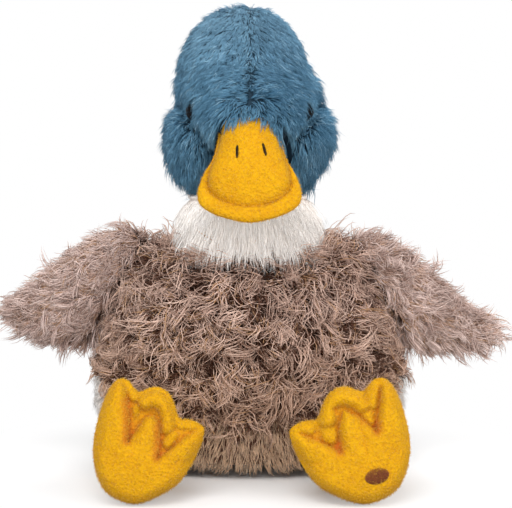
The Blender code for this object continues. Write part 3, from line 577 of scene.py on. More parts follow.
def grow(name, skin, count, flow, keep, pile, seed, blocks=None):
    """The pile of one piece of fur cloth: its mesh, ready for a material. Strands that block an opening are left out."""
    rng = np.random.default_rng(seed)
    roots, normals = scatter(skin, count, rng)
    wanted = keep(roots, normals)
    roots, normals = roots[wanted], normals[wanted]
    roots = roots - normals * pile["sunk"]
    combed = flow(roots, normals)
    scale = pile["scale"](roots) if "scale" in pile else np.ones(len(roots))
    paths = strand_paths(roots, normals, combed, pile, rng)
    paths = roots[:, None] + (paths - roots[:, None]) * scale[:, None, None]
    paths, lock_chance = gather(paths, roots, pile, rng)
    paths[:, :, 2] = np.maximum(paths[:, :, 2], FLOOR_CLEARANCE)
    across = np.cross(normals, combed) + normals * 0.1
    radius = pile["radius"] * rng.uniform(0.7, 1.3, len(roots))
    chance = rng.random(len(roots))
    if blocks:
        clear = ~blocks(paths)
        paths, across, radius, chance, lock_chance = (
            values[clear] for values in (paths, across, radius, chance, lock_chance)
        )
    mesh = strand_mesh(name, paths, across, radius, chance, lock_chance)
    mesh.calc_loop_triangles()
    print(name, len(paths), "strands,", len(mesh.loop_triangles), "triangles")
    return mesh


FLOOR_CLEARANCE = 0.4 * MM
everywhere = lambda places, normals: np.ones(len(places), bool)
print("a strand of 4 steps has", 3 * 3 * 2 + 4, "triangles")

# %% [markdown]
# ## Fur materials
# Each fibre is painted dark at its root, as painted shade deep in the pile, and paler towards its tip, as painted
# light, and no two fibres take the dye alike.
# The strands carry how far along they are and a random number each, so the colour is a sum of those and soft noise.


# %% Fur materials
def fur_paint(name, root, dark, light, rare, rare_share, patch_size, roughness=0.55, sheen=0.15, crown=None, glow=0.0):
    paint = Paint(name)
    along, chance, lock_chance = (paint.kept(key) for key in ("along", "chance", "lock_chance"))
    patches = paint.noise(patch_size)
    # Part of the tone, rising towards each tip, is painted light
    tone = (chance * 0.55 + lock_chance * 0.3 + (patches - 0.5) * 1.2 + along * 0.25).clipped()
    colour = paint.mix(tone, dark, light)
    glints = (patches - GLINTS_FROM).clipped() * (rare_share * GLINTS_MORE)
    colour = paint.mix(chance > 1 - glints, colour, rare)
    # Painted shade: each fibre darkens to its root colour near the skin
    colour = paint.mix(((along - 0.06) * 2.6).clipped(), root, colour)
    # A tone by height: on the head it is painted light that makes the crown paler
    if crown:
        low, high, share = crown
        rise = ((paint.node("ShaderNodeSeparateXYZ", {}, {0: paint.place()}, "Z") - low) * (1 / (high - low))).clipped()
        colour = paint.mix(rise * share, colour, rare)
    # The emission is a painted glow, used only on the white fur
    return paint.finish(
        colour, roughness, Sheen_Weight=sheen, Sheen_Roughness=0.4, Sheen_Tint=light, Specular_IOR_Level=0.3,
        Emission_Color=light, Emission_Strength=glow,
    )


def backing_paint(name, colour, dark):
    """Knitted backing cloth, seen only between the roots."""
    paint = Paint(name)
    knit = paint.node("ShaderNodeTexVoronoi", {}, {"Vector": paint.place(), "Scale": 1 / KNIT_SIZE}, "Distance")
    shade = paint.mix(paint.noise(6.0 * MM), colour, dark)
    return paint.finish(shade, 0.9, Normal=paint.bump(knit, KNIT_DEPTH))


GLINTS_FROM, GLINTS_MORE = 0.43, 10.0
KNIT_SIZE = 0.9 * MM
KNIT_DEPTH = 0.15 * MM
# The root colours are painted shade, the dark deep in the pile
BLUE_ROOT, BLUE_DARK, BLUE_LIGHT = (0.010, 0.052, 0.098), (0.042, 0.148, 0.252), (0.165, 0.365, 0.53)
BLUE_TIP = (0.34, 0.56, 0.71)
BROWN_ROOT, BROWN_DARK, BROWN_LIGHT = (0.045, 0.017, 0.009), (0.155, 0.063, 0.035), (0.88, 0.635, 0.525)
# The wing fur is the brown fur painted lighter, as painted light on the wings
WING_DARK, WING_LIGHT = (0.36, 0.22, 0.175), (0.92, 0.74, 0.68)
BROWN_GLINT = (0.50, 0.285, 0.145)
BROWN_HOOK = (0.45, 0.29, 0.225)
WHITE_ROOT, WHITE_DARK, WHITE_LIGHT = (0.93, 0.82, 0.74), (0.99, 0.925, 0.87), (0.995, 0.965, 0.935)
# Heights where a tone begins and is full, and how full: pale on the crown, as painted light from above, golden brown
# low on the body
CROWN_PAINTED_LIGHT = (205.0 * MM, 250.0 * MM, 0.42)
LOW_WARMTH = (90.0 * MM, 42.0 * MM, 0.36)
# The blue backing is painted near black, as painted shade in the gaps where it shows
BLUE_SHADED_CLOTH = ((0.005, 0.022, 0.040), (0.010, 0.040, 0.070))
# A painted glow: the white fibres emit about this much, in place of the light they pass on to each other
WHITE_PAINTED_GLOW = 0.12
blue_pile = fur_paint(
    "blue_fur", BLUE_ROOT, BLUE_DARK, BLUE_LIGHT, BLUE_TIP, 0.06, 14.0 * MM, crown=CROWN_PAINTED_LIGHT
)
brown_pile = fur_paint(
    "brown_fur", BROWN_ROOT, BROWN_DARK, BROWN_LIGHT, BROWN_GLINT, 0.09, 16.0 * MM, crown=LOW_WARMTH
)
wing_pile = fur_paint("wing_fur", BROWN_ROOT, WING_DARK, WING_LIGHT, BROWN_GLINT, 0.04, 16.0 * MM)
# The underfur is painted only in the root and dark tones, as painted shade under the curls
under_pile = fur_paint("brown_underfur", BROWN_ROOT, BROWN_ROOT, BROWN_DARK, BROWN_GLINT, 0.12, 16.0 * MM)
hook_pile = fur_paint(
    "brown_hooks", BROWN_ROOT, BROWN_HOOK, BROWN_LIGHT, BROWN_GLINT, 0.04, 16.0 * MM, crown=LOW_WARMTH
)
white_pile = fur_paint("white_fur", WHITE_ROOT, WHITE_DARK, WHITE_LIGHT, WHITE_LIGHT, 0.1, 10.0 * MM, 0.6, 1.0, glow=WHITE_PAINTED_GLOW)
blue_backing = backing_paint("blue_backing", *BLUE_SHADED_CLOTH)
brown_backing = backing_paint("brown_backing", BROWN_ROOT, BROWN_DARK)
white_backing = backing_paint("white_backing", WHITE_DARK, WHITE_ROOT)
print("9 fur and backing materials")

# %% [markdown]
# ## Head
# The head is two fur halves that meet in a seam up the middle of the face. The forehead is one round lobe and each
# cheek another, and a deep crease runs between them from the side of the head past the eye to the bill. The pile is
# parted along the seam, lies sideways low on the forehead, streams down the cheeks, and its edge hangs over the bill.

# %% Head
HEAD_SKIN_DEPTH = 6.0 * MM
HEAD_CENTRE = np.array((0.0, -5.0, 198.0)) * MM
BILL_ROOT = np.array((0.0, -56.0, 176.0)) * MM
CREASE = [(46.0 * MM, 196.0 * MM), (38.0 * MM, 198.0 * MM), (30.0 * MM, 193.0 * MM), (26.0 * MM, 186.0 * MM),
          (22.0 * MM, 179.0 * MM), (18.5 * MM, 171.0 * MM), (19.0 * MM, 163.0 * MM)]
CREASE_DEPTH = 8.5 * MM
CREASE_WIDTH = 4.5 * MM
BROW_PLACE = np.array((2.0, -60.0, 187.0)) * MM
BROW_SPREAD = np.array((25.0, 30.0, 13.0)) * MM
BROW_SWELL = 10.5 * MM
EYE_ANGLE = math.radians(44.0)
EYE_CLEAR = 7.0 * MM
SLIT_HALF_WIDTH, SLIT_HALF_HEIGHT, SLIT_INWARD = 1.1 * MM, 3.6 * MM, 1.8 * MM
# Outside the eye the hair lies over its edge, towards the slit
LID_FADE, LID_REACH = 2.0 * MM, 11.0 * MM
LID_DROOP = np.array((0.0, 0.0, -0.35))
BILL_GAPS = (
    ((-13.5 * MM, 187.0 * MM), (-15.5 * MM, 180.0 * MM), (-17.5 * MM, 171.0 * MM)),
    ((18.0 * MM, 181.0 * MM), (20.0 * MM, 176.0 * MM), (21.5 * MM, 168.0 * MM)),
)
GAP_HALF_WIDTH = 1.2 * MM
FURROW_DEPTH = 1.8 * MM
FURROW_WIDTH = 3.0 * MM
LEAN_FROM, LEAN_OVER, LEAN = 196.0 * MM, 26.0 * MM, 4.2 * MM
FRINGE_HEIGHT, FRINGE_MIDDLE, FRINGE_SLOPE = 189.0 * MM, -4.0 * MM, 0.3
FRINGE_SPREAD, FRINGE_HALF_WIDTH = 5.0 * MM, 20.0 * MM
FRINGE_LENGTHENING, FRINGE_SLANT = 0.15, 1.5
JOWL_HEIGHT, JOWL_OVER, JOWL_LENGTHENING = 174.0 * MM, 16.0 * MM, 0.55
CROWN_HEIGHT, CROWN_FADE = 238.0 * MM, 10.0 * MM
PRESSED_FROM, PRESSED_OVER, PRESSED_MORE = 208.0 * MM, 20.0 * MM, math.radians(34.0)
PARTING_WIDTH = 12.0 * MM
CROWN_RISE, CROWN_RISE_FROM, CROWN_RISE_OVER, CROWN_RISE_WIDTH = 5.2 * MM, 222.0 * MM, 28.0 * MM, 36.0 * MM
# For each side of the crown: the height where it is widened most, how far the widening spreads, and by how much
CROWN_WIDENINGS = {1: (229.0 * MM, 16.0 * MM, 4.4 * MM), -1: (228.0 * MM, 15.0 * MM, 3.6 * MM)}
WIDENED_FROM = 12.0 * MM
JOWL_PLACE, JOWL_SPREAD = np.array((41.0, -18.0, 161.0)) * MM, np.array((13.0, 34.0, 13.0)) * MM
JOWL_TUCK = 4.0 * MM
CROWN_SHORTENING = 0.28
PARTING_TOP, PARTING_FADE = 220.0 * MM, 16.0 * MM
BILL_SPREAD = 26.0 * MM
HEAD_PILE = {
    "steps": 3, "length": 9.5 * MM, "length_spread": 0.22, "radius": 0.17 * MM, "sunk": 0.3 * MM,
    "root_lean": math.radians(32), "tip_lean": math.radians(88), "lean_spread": 0.17,
    "stray": 0.3, "sweep": 0.4, "droop": 0.1, "curl": 0.4 * MM, "curls": 0.8,
    "lock": 13, "cling": 0.62, "cling_from": 1.0,
}


def crease_near(places):
    """From 0 to 1, how near each place on the face is to the crease past the eye."""
    folded = np.stack([np.abs(places[:, 0]), places[:, 2]], axis=1)
    away, _ = distance_to_line(folded, CREASE)
    return np.exp(-((away / CREASE_WIDTH) ** 2)) * (places[:, 1] < HEAD_CENTRE[1] + 4.0 * MM)


def eye_places():
    """For each eye: the middle of its dome, and the way it looks."""
    for half, side in (("left", 1), ("right", -1)):
        low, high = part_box(f"eye_{half}")
        yield np.array((low + high) / 2), np.array((side * math.sin(EYE_ANGLE), -math.cos(EYE_ANGLE), 0.0))


def eye_near(places):
    """1 at an eye, falling to 0 round it."""
    near = np.zeros(len(places))
    for middle, _ in eye_places():
        near = np.maximum(near, np.exp(-((np.linalg.norm(places - middle, axis=1) / EYE_CLEAR) ** 4)))
    return near


def over_an_eye(paths):
    """Which strands pass in front of the slit through which an eye shows."""
    over = np.zeros(len(paths), bool)
    fine = np.concatenate([paths, (paths[:, 1:] + paths[:, :-1]) / 2], axis=1)
    for middle, outward in eye_places():
        from_eye = fine - middle
        inward = from_eye @ np.cross(outward, (0.0, 0.0, 1.0)) * math.copysign(1.0, outward[0])
        in_slit = (np.abs(inward - SLIT_INWARD) < SLIT_HALF_WIDTH) & (np.abs(from_eye[:, :, 2]) < SLIT_HALF_HEIGHT)
        over |= (in_slit & (from_eye @ outward > -2.0 * MM)).any(axis=1)
    return over


def in_a_gap(paths):
    """Which strands cross the dark gaps between the forehead and the sides of the bill."""
    flat = paths[:, :, [0, 2]].reshape(-1, 2)
    nearest = np.minimum(*(distance_to_line(flat, line)[0] for line in BILL_GAPS)).reshape(paths.shape[:2])
    return ((nearest < GAP_HALF_WIDTH) & (paths[:, :, 1] < HEAD_CENTRE[1])).any(axis=1)


def in_the_way(paths):
    return over_an_eye(paths) | in_a_gap(paths)


def furrow_near(places):
    """From 0 to 1, how near each place is to the seam up the middle of the face."""
    return np.exp(-((places[:, 0] / FURROW_WIDTH) ** 2)) * (places[:, 1] < HEAD_CENTRE[1])


def shape_head(mesh):
    """Draws the creases into the skin and leans the crown a little to the duck's right, as in the photograph."""
    points, normals, _ = arrays_of(mesh)
    crease = crease_near(points) * (1 - eye_near(points))
    brow = np.exp(-(((points - BROW_PLACE) / BROW_SPREAD) ** 2).sum(axis=1))
    moved = points + normals * (BROW_SWELL * brow - CREASE_DEPTH * crease)[:, None]
    high = np.clip((points[:, 2] - CROWN_RISE_FROM) / CROWN_RISE_OVER, 0, 1)
    moved -= normals * (FURROW_DEPTH * furrow_near(points) * (1 - high))[:, None]
    moved[:, 2] += CROWN_RISE * high * np.clip(1 - (points[:, 0] / CROWN_RISE_WIDTH) ** 2, 0, 1)
    moved -= normals * (JOWL_TUCK * np.exp(-(((points - JOWL_PLACE) / JOWL_SPREAD) ** 2).sum(axis=1)))[:, None]
    for side, (height, spread, wider) in CROWN_WIDENINGS.items():
        full = np.exp(-(((points[:, 2] - height) / spread) ** 2))
        moved[:, 0] += side * wider * full * np.clip(points[:, 0] * side / WIDENED_FROM, 0, 1)
    rise = np.clip((moved[:, 2] - LEAN_FROM) / LEAN_OVER, 0, 1)
    moved[:, 0] -= LEAN * rise * rise * (3 - 2 * rise)
    return move_points(mesh, moved)


def head_flow(places, normals):
    """The way the head's pile is combed."""
    x, y, z = places.T
    side = x / np.hypot(x, 1.5 * MM)
    front = y < HEAD_CENTRE[1] + 15 * MM
    parted = np.exp(-((x / PARTING_WIDTH) ** 2)) * front * np.clip((PARTING_TOP - z) / PARTING_FADE, 0, 1)
    flow = np.zeros_like(places)
    flow[:, 0] = side * (0.28 + 0.95 * parted)
    flow[:, 2] = -1.0 + 0.8 * parted
    crown = np.clip((z - CROWN_HEIGHT) / CROWN_FADE, 0, 1)[:, None] * front[:, None]
    forward = np.stack([side * 0.25, -np.ones_like(x), -0.3 * np.ones_like(x)], axis=1)
    flow = flow * (1 - crown) + forward * crown
    off_bill = places - BILL_ROOT
    off_bill[:, 1] = 0.0
    near = np.exp(-((np.linalg.norm(off_bill, axis=1) / BILL_SPREAD) ** 4)) * (y < HEAD_CENTRE[1])
    towards = np.stack([-side * 0.2, np.zeros_like(x), -np.ones_like(x)], axis=1)
    flow = flow * (1 - near[:, None]) + towards * near[:, None]
    for middle, outward in eye_places():
        inward = np.cross(outward, (0.0, 0.0, 1.0)) * math.copysign(1.0, outward[0])
        from_eye = places - middle
        outside = np.clip(-(from_eye @ inward) / LID_FADE, 0, 1)
        lid = outside * np.exp(-((np.linalg.norm(from_eye, axis=1) / LID_REACH) ** 4))
        flow = flow * (1 - lid[:, None]) + (inward + LID_DROOP) * lid[:, None]
    return flow


def fringe_near(places):
    """From 0 to 1, how near each place is to the edge of the fur over the bill."""
    x, y, z = places.T
    edge = FRINGE_HEIGHT - np.abs(x - FRINGE_MIDDLE) * FRINGE_SLOPE
    return np.exp(-(((z - edge) / FRINGE_SPREAD) ** 2)) * (y < HEAD_CENTRE[1]) * (np.abs(x) < FRINGE_HALF_WIDTH)


def head_scale(places):
    """The pile is short in the furrow and in the creases, and longer where it hangs over the bill."""
    short = (1 - 0.45 * furrow_near(places)) * (1 - 0.65 * crease_near(places) * (1 - eye_near(places)))
    jowl = np.clip((JOWL_HEIGHT - places[:, 2]) / JOWL_OVER, 0, 1)
    fringe = FRINGE_LENGTHENING * (1 + FRINGE_SLANT * np.clip(places[:, 0] / FRINGE_HALF_WIDTH, 0, 1))
    crown = np.clip((places[:, 2] - PRESSED_FROM) / PRESSED_OVER, 0, 1)
    return short * (1 + fringe * fringe_near(places) + JOWL_LENGTHENING * jowl - CROWN_SHORTENING * crown)


def head_pressed(places):
    """The pile lies flat on the crown."""
    return PRESSED_MORE * np.clip((places[:, 2] - PRESSED_FROM) / PRESSED_OVER, 0, 1)


HEAD_PILE["scale"] = head_scale
HEAD_PILE["pressed"] = head_pressed
head_skin = skin_under("head_skin", ("head_cover_left", "head_cover_right", "head_stuffing"), HEAD_SKIN_DEPTH)
head_skin = shape_head(head_skin)
for half, sign in (("left", 1), ("right", -1)):
    for part, facing, count in (("brow", -1, 62000), ("cheek", -1, 62000), ("back", 1, 38000)):
        def on_this_part(places, normals, sign=sign, facing=facing, part=part):
            x, y, z = places.T
            here = (x * sign > 0) & ((y - HEAD_CENTRE[1]) * facing > 0)
            if facing < 0:
                here &= (z > HEAD_CENTRE[2]) == (part == "brow")
            return here

        name = f"head_{half}_{part}_pile"
        pile_mesh = grow(name, head_skin, count, head_flow, on_this_part, HEAD_PILE, 11, in_the_way)
        add_piece(pile_mesh.name, pile_mesh, blue_pile, "head")
piece = add_piece("head_skin", head_skin, blue_backing, "head", ("head_cover_left", "head_cover_right"))

# %% [markdown]
# ## Collar
# The neck is covered by long, straight, off-white fur that hangs down over the shoulders.

# %% Collar
COLLAR_SKIN_DEPTH = 6.0 * MM
COLLAR_FLOOR = 127.0 * MM
COLLAR_RIM = 151.0 * MM
COLLAR_PILE = {
    "steps": 3, "length": 15.0 * MM, "length_spread": 0.4, "radius": 0.21 * MM, "sunk": 0.3 * MM,
    "root_lean": math.radians(55), "tip_lean": math.radians(90), "lean_spread": 0.12,
    "stray": 0.12, "sweep": 0.25, "droop": 0.45, "curl": 0.3 * MM, "curls": 0.7,
    "lock": 18, "cling": 0.48, "cling_from": 1.5,
}
COLLAR_PUFF_FROM, COLLAR_PUFF_OVER, COLLAR_PUFF = 130.0 * MM, 12.0 * MM, math.radians(-26.0)
COLLAR_SIDE, COLLAR_FLATNESS = 18.0 * MM, math.radians(26.0)
COLLAR_WIDTHS = {1: 0.90, -1: 0.96}


def collar_puff(places):
    """The collar's hair stands out more near its rim, under the head, and lies flat at the sides."""
    at_side = np.clip((np.abs(places[:, 0]) - COLLAR_SIDE) / COLLAR_SIDE, 0, 1)
    high = np.clip((places[:, 2] - COLLAR_PUFF_FROM) / COLLAR_PUFF_OVER, 0, 1)
    return COLLAR_PUFF * high * (1 - at_side) + COLLAR_FLATNESS * at_side


def hanging(places, normals):
    return np.tile((0.0, 0.0, -1.0), (len(places), 1)) + unit(normals * (1, 1, 0)) * 0.1


def narrow_collar(mesh):
    """Draws the collar in at its sides, more so on the duck's left, as in the photograph."""
    points, _, _ = arrays_of(mesh)
    points[:, 0] *= np.where(points[:, 0] > 0, COLLAR_WIDTHS[1], COLLAR_WIDTHS[-1])
    return move_points(mesh, points)


COLLAR_PILE["pressed"] = collar_puff
collar_skin = narrow_collar(skin_under("collar_skin", ("neck_collar", "neck_core"), COLLAR_SKIN_DEPTH))
for part, facing, count in (("front", -1, 76000), ("back", 1, 60000)):
    def on_this_outside(places, normals, facing=facing):
        outward = unit((places - HEAD_CENTRE) * (1, 1, 0))
        outside = ((normals * outward).sum(axis=1) > 0.25) & (places[:, 2] > COLLAR_FLOOR)
        outside |= (normals[:, 2] > 0.3) & (places[:, 2] > COLLAR_RIM)
        return outside & ((places[:, 1] - HEAD_CENTRE[1]) * facing > 0)

    collar_mesh = grow(f"collar_{part}_pile", collar_skin, count, hanging, on_this_outside, COLLAR_PILE, 21)
    add_piece(collar_mesh.name, collar_mesh, white_pile, "neck")
add_piece("collar_skin", collar_skin, white_backing, "neck", ("neck_collar",))

# %% [markdown]
# ## Body
# The body's fur is a shaggy curly one: thin twisted locks 20 to 30 mm long that hook and cross each other. Under
# it, from the seam down, the underside is short plush that the lowest locks hang over.

# %% Body
BODY_SKIN_DEPTH = 7.0 * MM
HEM_HEIGHT = 34.6 * MM
NECK_RADIUS = 28.0 * MM
NECK_TOP_HEIGHT = 108.0 * MM
BODY_NODES = ("body_front_panel", "body_back_panel", "underside_panel", "body_stuffing", "neck_core")
CURLY_PILE = {
    "steps": 8, "length": 20.0 * MM, "length_spread": 0.3, "radius": 0.24 * MM, "sunk": 0.3 * MM,
    "root_lean": math.radians(20), "tip_lean": math.radians(108), "lean_spread": 0.25,
    "stray": 0.9, "sweep": 1.9, "droop": 0.2, "curl": 1.9 * MM, "curls": 1.4,
    "lock": 11, "cling": 0.93, "cling_from": 0.35,
}
UNDER_PILE = {
    "steps": 3, "length": 13.0 * MM, "length_spread": 0.25, "radius": 0.22 * MM, "sunk": 0.3 * MM,
    "root_lean": math.radians(25), "tip_lean": math.radians(95), "lean_spread": 0.25,
    "stray": 0.9, "sweep": 1.2, "droop": 0.2, "curl": 0.8 * MM, "curls": 0.9,
    "lock": 14, "cling": 0.6, "cling_from": 0.9,
}

HOOKS = dict(
    CURLY_PILE, steps=9, length=19.0 * MM, radius=0.27 * MM, sweep=2.6, curl=2.5 * MM, curls=1.3, lock=5, cling=0.94
)
HIP_RISE = 15.0 * MM
HIP_FROM, HIP_OVER = 58.0 * MM, 20.0 * MM
FLANK_SHORTENING = 0.4
SHOULDER_LENGTHENING = 0.15
SHOULDER_PUFF, SHOULDER_PUFF_FROM, SHOULDER_PUFF_OVER = math.radians(-8.0), 100.0 * MM, 12.0 * MM
SHOULDER_PLACE, SHOULDER_SPREAD = np.array((52.0, 0.0, 114.0)) * MM, np.array((12.0, 18.0, 14.0)) * MM
SHOULDER_SWELL = 4.8 * MM
COLLAR_REACH, COLLAR_HEM = 36.0 * MM, 123.0 * MM


def hem_at(places):
    """Height at which the brown fur ends: it rides up at the hips."""
    return HEM_HEIGHT + HIP_RISE * np.clip((np.abs(places[:, 0]) - HIP_FROM) / HIP_OVER, 0, 1)


def body_scale(places):
    """The pile is longer on the shoulders and shorter low on the flanks."""
    low = np.clip((100.0 * MM - places[:, 2]) / (30.0 * MM), 0, 1)
    flank = np.clip((np.abs(places[:, 0]) - 45.0 * MM) / (30.0 * MM), 0, 1)
    high = np.clip((places[:, 2] - 92.0 * MM) / (20.0 * MM), 0, 1)
    return 1 - FLANK_SHORTENING * low * flank + SHOULDER_LENGTHENING * high


def body_puff(places):
    """The pile stands up round the collar."""
    return SHOULDER_PUFF * np.clip((places[:, 2] - SHOULDER_PUFF_FROM) / SHOULDER_PUFF_OVER, 0, 1)


CURLY_PILE["scale"] = UNDER_PILE["scale"] = HOOKS["scale"] = body_scale
CURLY_PILE["pressed"] = UNDER_PILE["pressed"] = body_puff


def body_flow(places, normals):
    flow = np.zeros_like(places)
    flow[:, 0] = places[:, 0] / (60.0 * MM)
    flow[:, 2] = -1.0
    return flow


def over_the_collar(paths):
    """Which strands reach over the collar's lower edge."""
    from_neck = np.hypot(paths[:, :, 0], paths[:, :, 1] - HEAD_CENTRE[1])
    return ((from_neck < COLLAR_REACH) & (paths[:, :, 2] > COLLAR_HEM)).any(axis=1)


def swell_shoulders(mesh):
    """Fills out the body between the collar and the wings' roots."""
    points, normals, _ = arrays_of(mesh)
    folded = points * (0, 1, 1) + np.abs(points) * (1, 0, 0)
    near = np.exp(-(((folded - SHOULDER_PLACE) / SHOULDER_SPREAD) ** 2).sum(axis=1))
    return move_points(mesh, points + normals * (SHOULDER_SWELL * near)[:, None])


body_skin = swell_shoulders(skin_under("body_skin", BODY_NODES, BODY_SKIN_DEPTH))
for part, facing in (("front", -1), ("back", 1)):
    for half, sign in (("left", 1), ("right", -1)):
        def on_this_side(places, normals, sign=sign, facing=facing):
            x, y, z = places.T
            from_neck = np.hypot(x, y - HEAD_CENTRE[1])
            under_collar = (from_neck < NECK_RADIUS) & (z > 90.0 * MM) | (z > NECK_TOP_HEIGHT + 14.0 * MM)
            return (x * sign > 0) & (y * facing > 0) & (z > hem_at(places)) & ~under_collar

        for layer, pile, count, paint in (
            ("curls", CURLY_PILE, 26000, brown_pile), ("under", UNDER_PILE, 42000, under_pile), ("hooks", HOOKS, 9000, hook_pile)
        ):
            name = f"body_{part}_{half}_{layer}"
            pile_mesh = grow(name, body_skin, count, body_flow, on_this_side, pile, 31, over_the_collar)
            add_piece(pile_mesh.name, pile_mesh, paint, "torso")
panels = ("body_front_panel", "body_back_panel", "underside_panel")
add_piece("body_skin", body_skin, brown_backing, "torso", panels)

# %% [markdown]
# ## Wings and tail
# Each wing is a flat stuffed paddle of the same fur, its curls painted lighter as painted light, combed along its span,
# and its tip is ragged with loose locks.
# The wing bends at its root seam; its skin and pile are not attached to the wing's body but stay where they are built.

# %% Wings and tail
WING_SKIN_DEPTH = 4.5 * MM
WING_BEND_START = 52.0 * MM
WING_BEND_END = 68.0 * MM
SHOULDER_HEIGHT = 118.0 * MM
SHOULDER_TOP = 112.0 * MM
WING_CURLS = dict(
    CURLY_PILE, steps=6, length=15.0 * MM, root_lean=math.radians(35), tip_lean=math.radians(96), stray=0.5, sweep=1.2,
    curl=1.1 * MM, curls=1.2, lock=9,
)
WING_UNDER = dict(UNDER_PILE, length=11.0 * MM, stray=0.6, sweep=0.8)
for pile in (WING_CURLS, WING_UNDER):
    del pile["scale"], pile["pressed"]
# How far each wing's upper and lower edge is raised, by the distance from the middle of the duck, in mm
WING_RAISES = {
    "left": ((45, 2, 0), (56, 2.5, 0), (72, -1, 0), (88, -7, 0), (112, -10.5, 0), (126, -6, -1), (136, -2, -1)),
    "right": ((42, 2, 0), (54, 5.5, 1), (72, 4.5, 0), (90, 3, 1), (112, 1, 5), (126, 3, 12), (136, 3.5, 15)),
}
WING_SLICES = 24
# Where each sewn cover bends; its filling is then, like the cover, not attached to a body
BENDS = {}
body_wall = wall_of(body_skin)


def pose_wing(mesh, raises):
    """Raises the wing's edges: in the photograph one wing stands higher than the other."""
    points, _, _ = arrays_of(mesh)
    reach = np.abs(points[:, 0])
    edges = np.linspace(reach.min(), reach.max(), WING_SLICES + 1)
    middles = (edges[1:] + edges[:-1]) / 2
    slices = np.clip(np.digitize(reach, edges) - 1, 0, WING_SLICES - 1)
    low = np.array([points[slices == index, 2].min() for index in range(WING_SLICES)])
    high = np.array([points[slices == index, 2].max() for index in range(WING_SLICES)])
    low, high = np.interp(reach, middles, low), np.interp(reach, middles, high)
    share = np.clip((points[:, 2] - low) / (high - low), 0, 1)
    reaches, tops, bottoms = np.array(raises).T * MM
    top, bottom = np.interp(reach, reaches, tops), np.interp(reach, reaches, bottoms)
    points[:, 2] += bottom + (top - bottom) * share
    return move_points(mesh, points)


for half, sign in (("left", 1), ("right", -1)):
    bend = [(sign * reach, 0.0, SHOULDER_HEIGHT) for reach in (WING_BEND_START, WING_BEND_END)]
    nodes = [f"wing_{half}_{kind}" for kind in ("front_panel", "back_panel", "stuffing")]
    BENDS[nodes[2]] = bend
    wing_skin = pose_wing(skin_under(f"wing_{half}_skin", nodes, WING_SKIN_DEPTH), WING_RAISES[half])

    def along_the_wing(places, normals, sign=sign):
        return np.tile((sign * 1.0, 0.0, -0.35), (len(places), 1))

    for part, facing in (("front", -1), ("back", 1)):
        def on_this_face(places, normals, facing=facing):
            free = outside_of([body_wall], places, 0.0) | (places[:, 2] > SHOULDER_TOP)
            return (normals[:, 1] * facing > 0) & free

        for layer, pile, count, paint in (("curls", WING_CURLS, 10500, wing_pile), ("under", WING_UNDER, 14000, brown_pile)):
            pile_mesh = grow(f"wing_{half}_{part}_{layer}", wing_skin, count, along_the_wing, on_this_face, pile, 41)
            add_piece(pile_mesh.name, pile_mesh, paint, f"wing_{half}", (), bend)
    piece = add_piece(wing_skin.name, wing_skin, brown_backing, f"wing_{half}", nodes[:2], bend)


def towards_tail_tip(places, normals):
    return np.tile((0.0, 1.0, 0.35), (len(places), 1))


tail_skin = skin_under("tail_skin", ("tail",), WING_SKIN_DEPTH)
pile_mesh = grow("tail_pile", tail_skin, 3600, towards_tail_tip, everywhere, WING_CURLS, 43)
add_piece("tail_pile", pile_mesh, brown_pile, "torso")
add_piece("tail_skin", tail_skin, brown_backing, "torso", ("tail",))

# %% [markdown]
# ## Underside
# The underside is short plush that shows between the feet and as a pale edge at the hips. Towards the middle it
# is painted tan, as the shade and the warm light thrown onto it by the fur and feet round it.

# %% Underside plush
PLUSH_PILE = {
    "steps": 3, "length": 8.0 * MM, "length_spread": 0.2, "radius": 0.17 * MM, "sunk": 0.3 * MM,
    "root_lean": math.radians(35), "tip_lean": math.radians(80), "lean_spread": 0.15,
    "stray": 0.3, "sweep": 0.3, "droop": 0.2, "curl": 0.3 * MM, "curls": 0.7,
    "lock": 14, "cling": 0.5, "cling_from": 1.1,
}
TAN_LIGHT, TAN_DARK = (0.96, 0.68, 0.46), (0.64, 0.42, 0.26)
TAN_HALF_WIDTH = 62.0 * MM
TAN_FADE = 22.0 * MM


def plush_paint():
    paint = Paint("pale_plush")
    # Painted shade and thrown light: tan towards the middle, pale at the sides
    sideways = paint.math("ABSOLUTE", paint.node("ShaderNodeSeparateXYZ", {}, {0: paint.place()}))
    at_side = ((sideways - TAN_HALF_WIDTH) * (1 / TAN_FADE)).clipped()
    along, chance = paint.kept("along"), paint.kept("chance")
    tan = paint.mix((along * 0.6 + chance * 0.4).clipped(), TAN_DARK, TAN_LIGHT)
    pale = paint.mix((along * 0.6 + chance * 0.4).clipped(), WHITE_DARK, WHITE_LIGHT)
    return paint.finish(paint.mix(at_side, tan, pale), 0.6, Sheen_Weight=0.2)


def on_the_underside(places, normals):
    return (places[:, 2] < hem_at(places) + 4.0 * MM) & (normals[:, 2] > -0.93)


plush_mesh = grow("underside_pile", body_skin, 42000, body_flow, on_the_underside, PLUSH_PILE, 51)
add_piece("underside_pile", plush_mesh, plush_paint(), "torso")

# %% [markdown]
# ## Velour
# The bill, legs and feet are golden velour, a knit with a pile so short that it looks like soft felt. It is paler
# where the pile catches the light and mottled where it is rubbed, and it is painted deep orange inside folds, as shade.


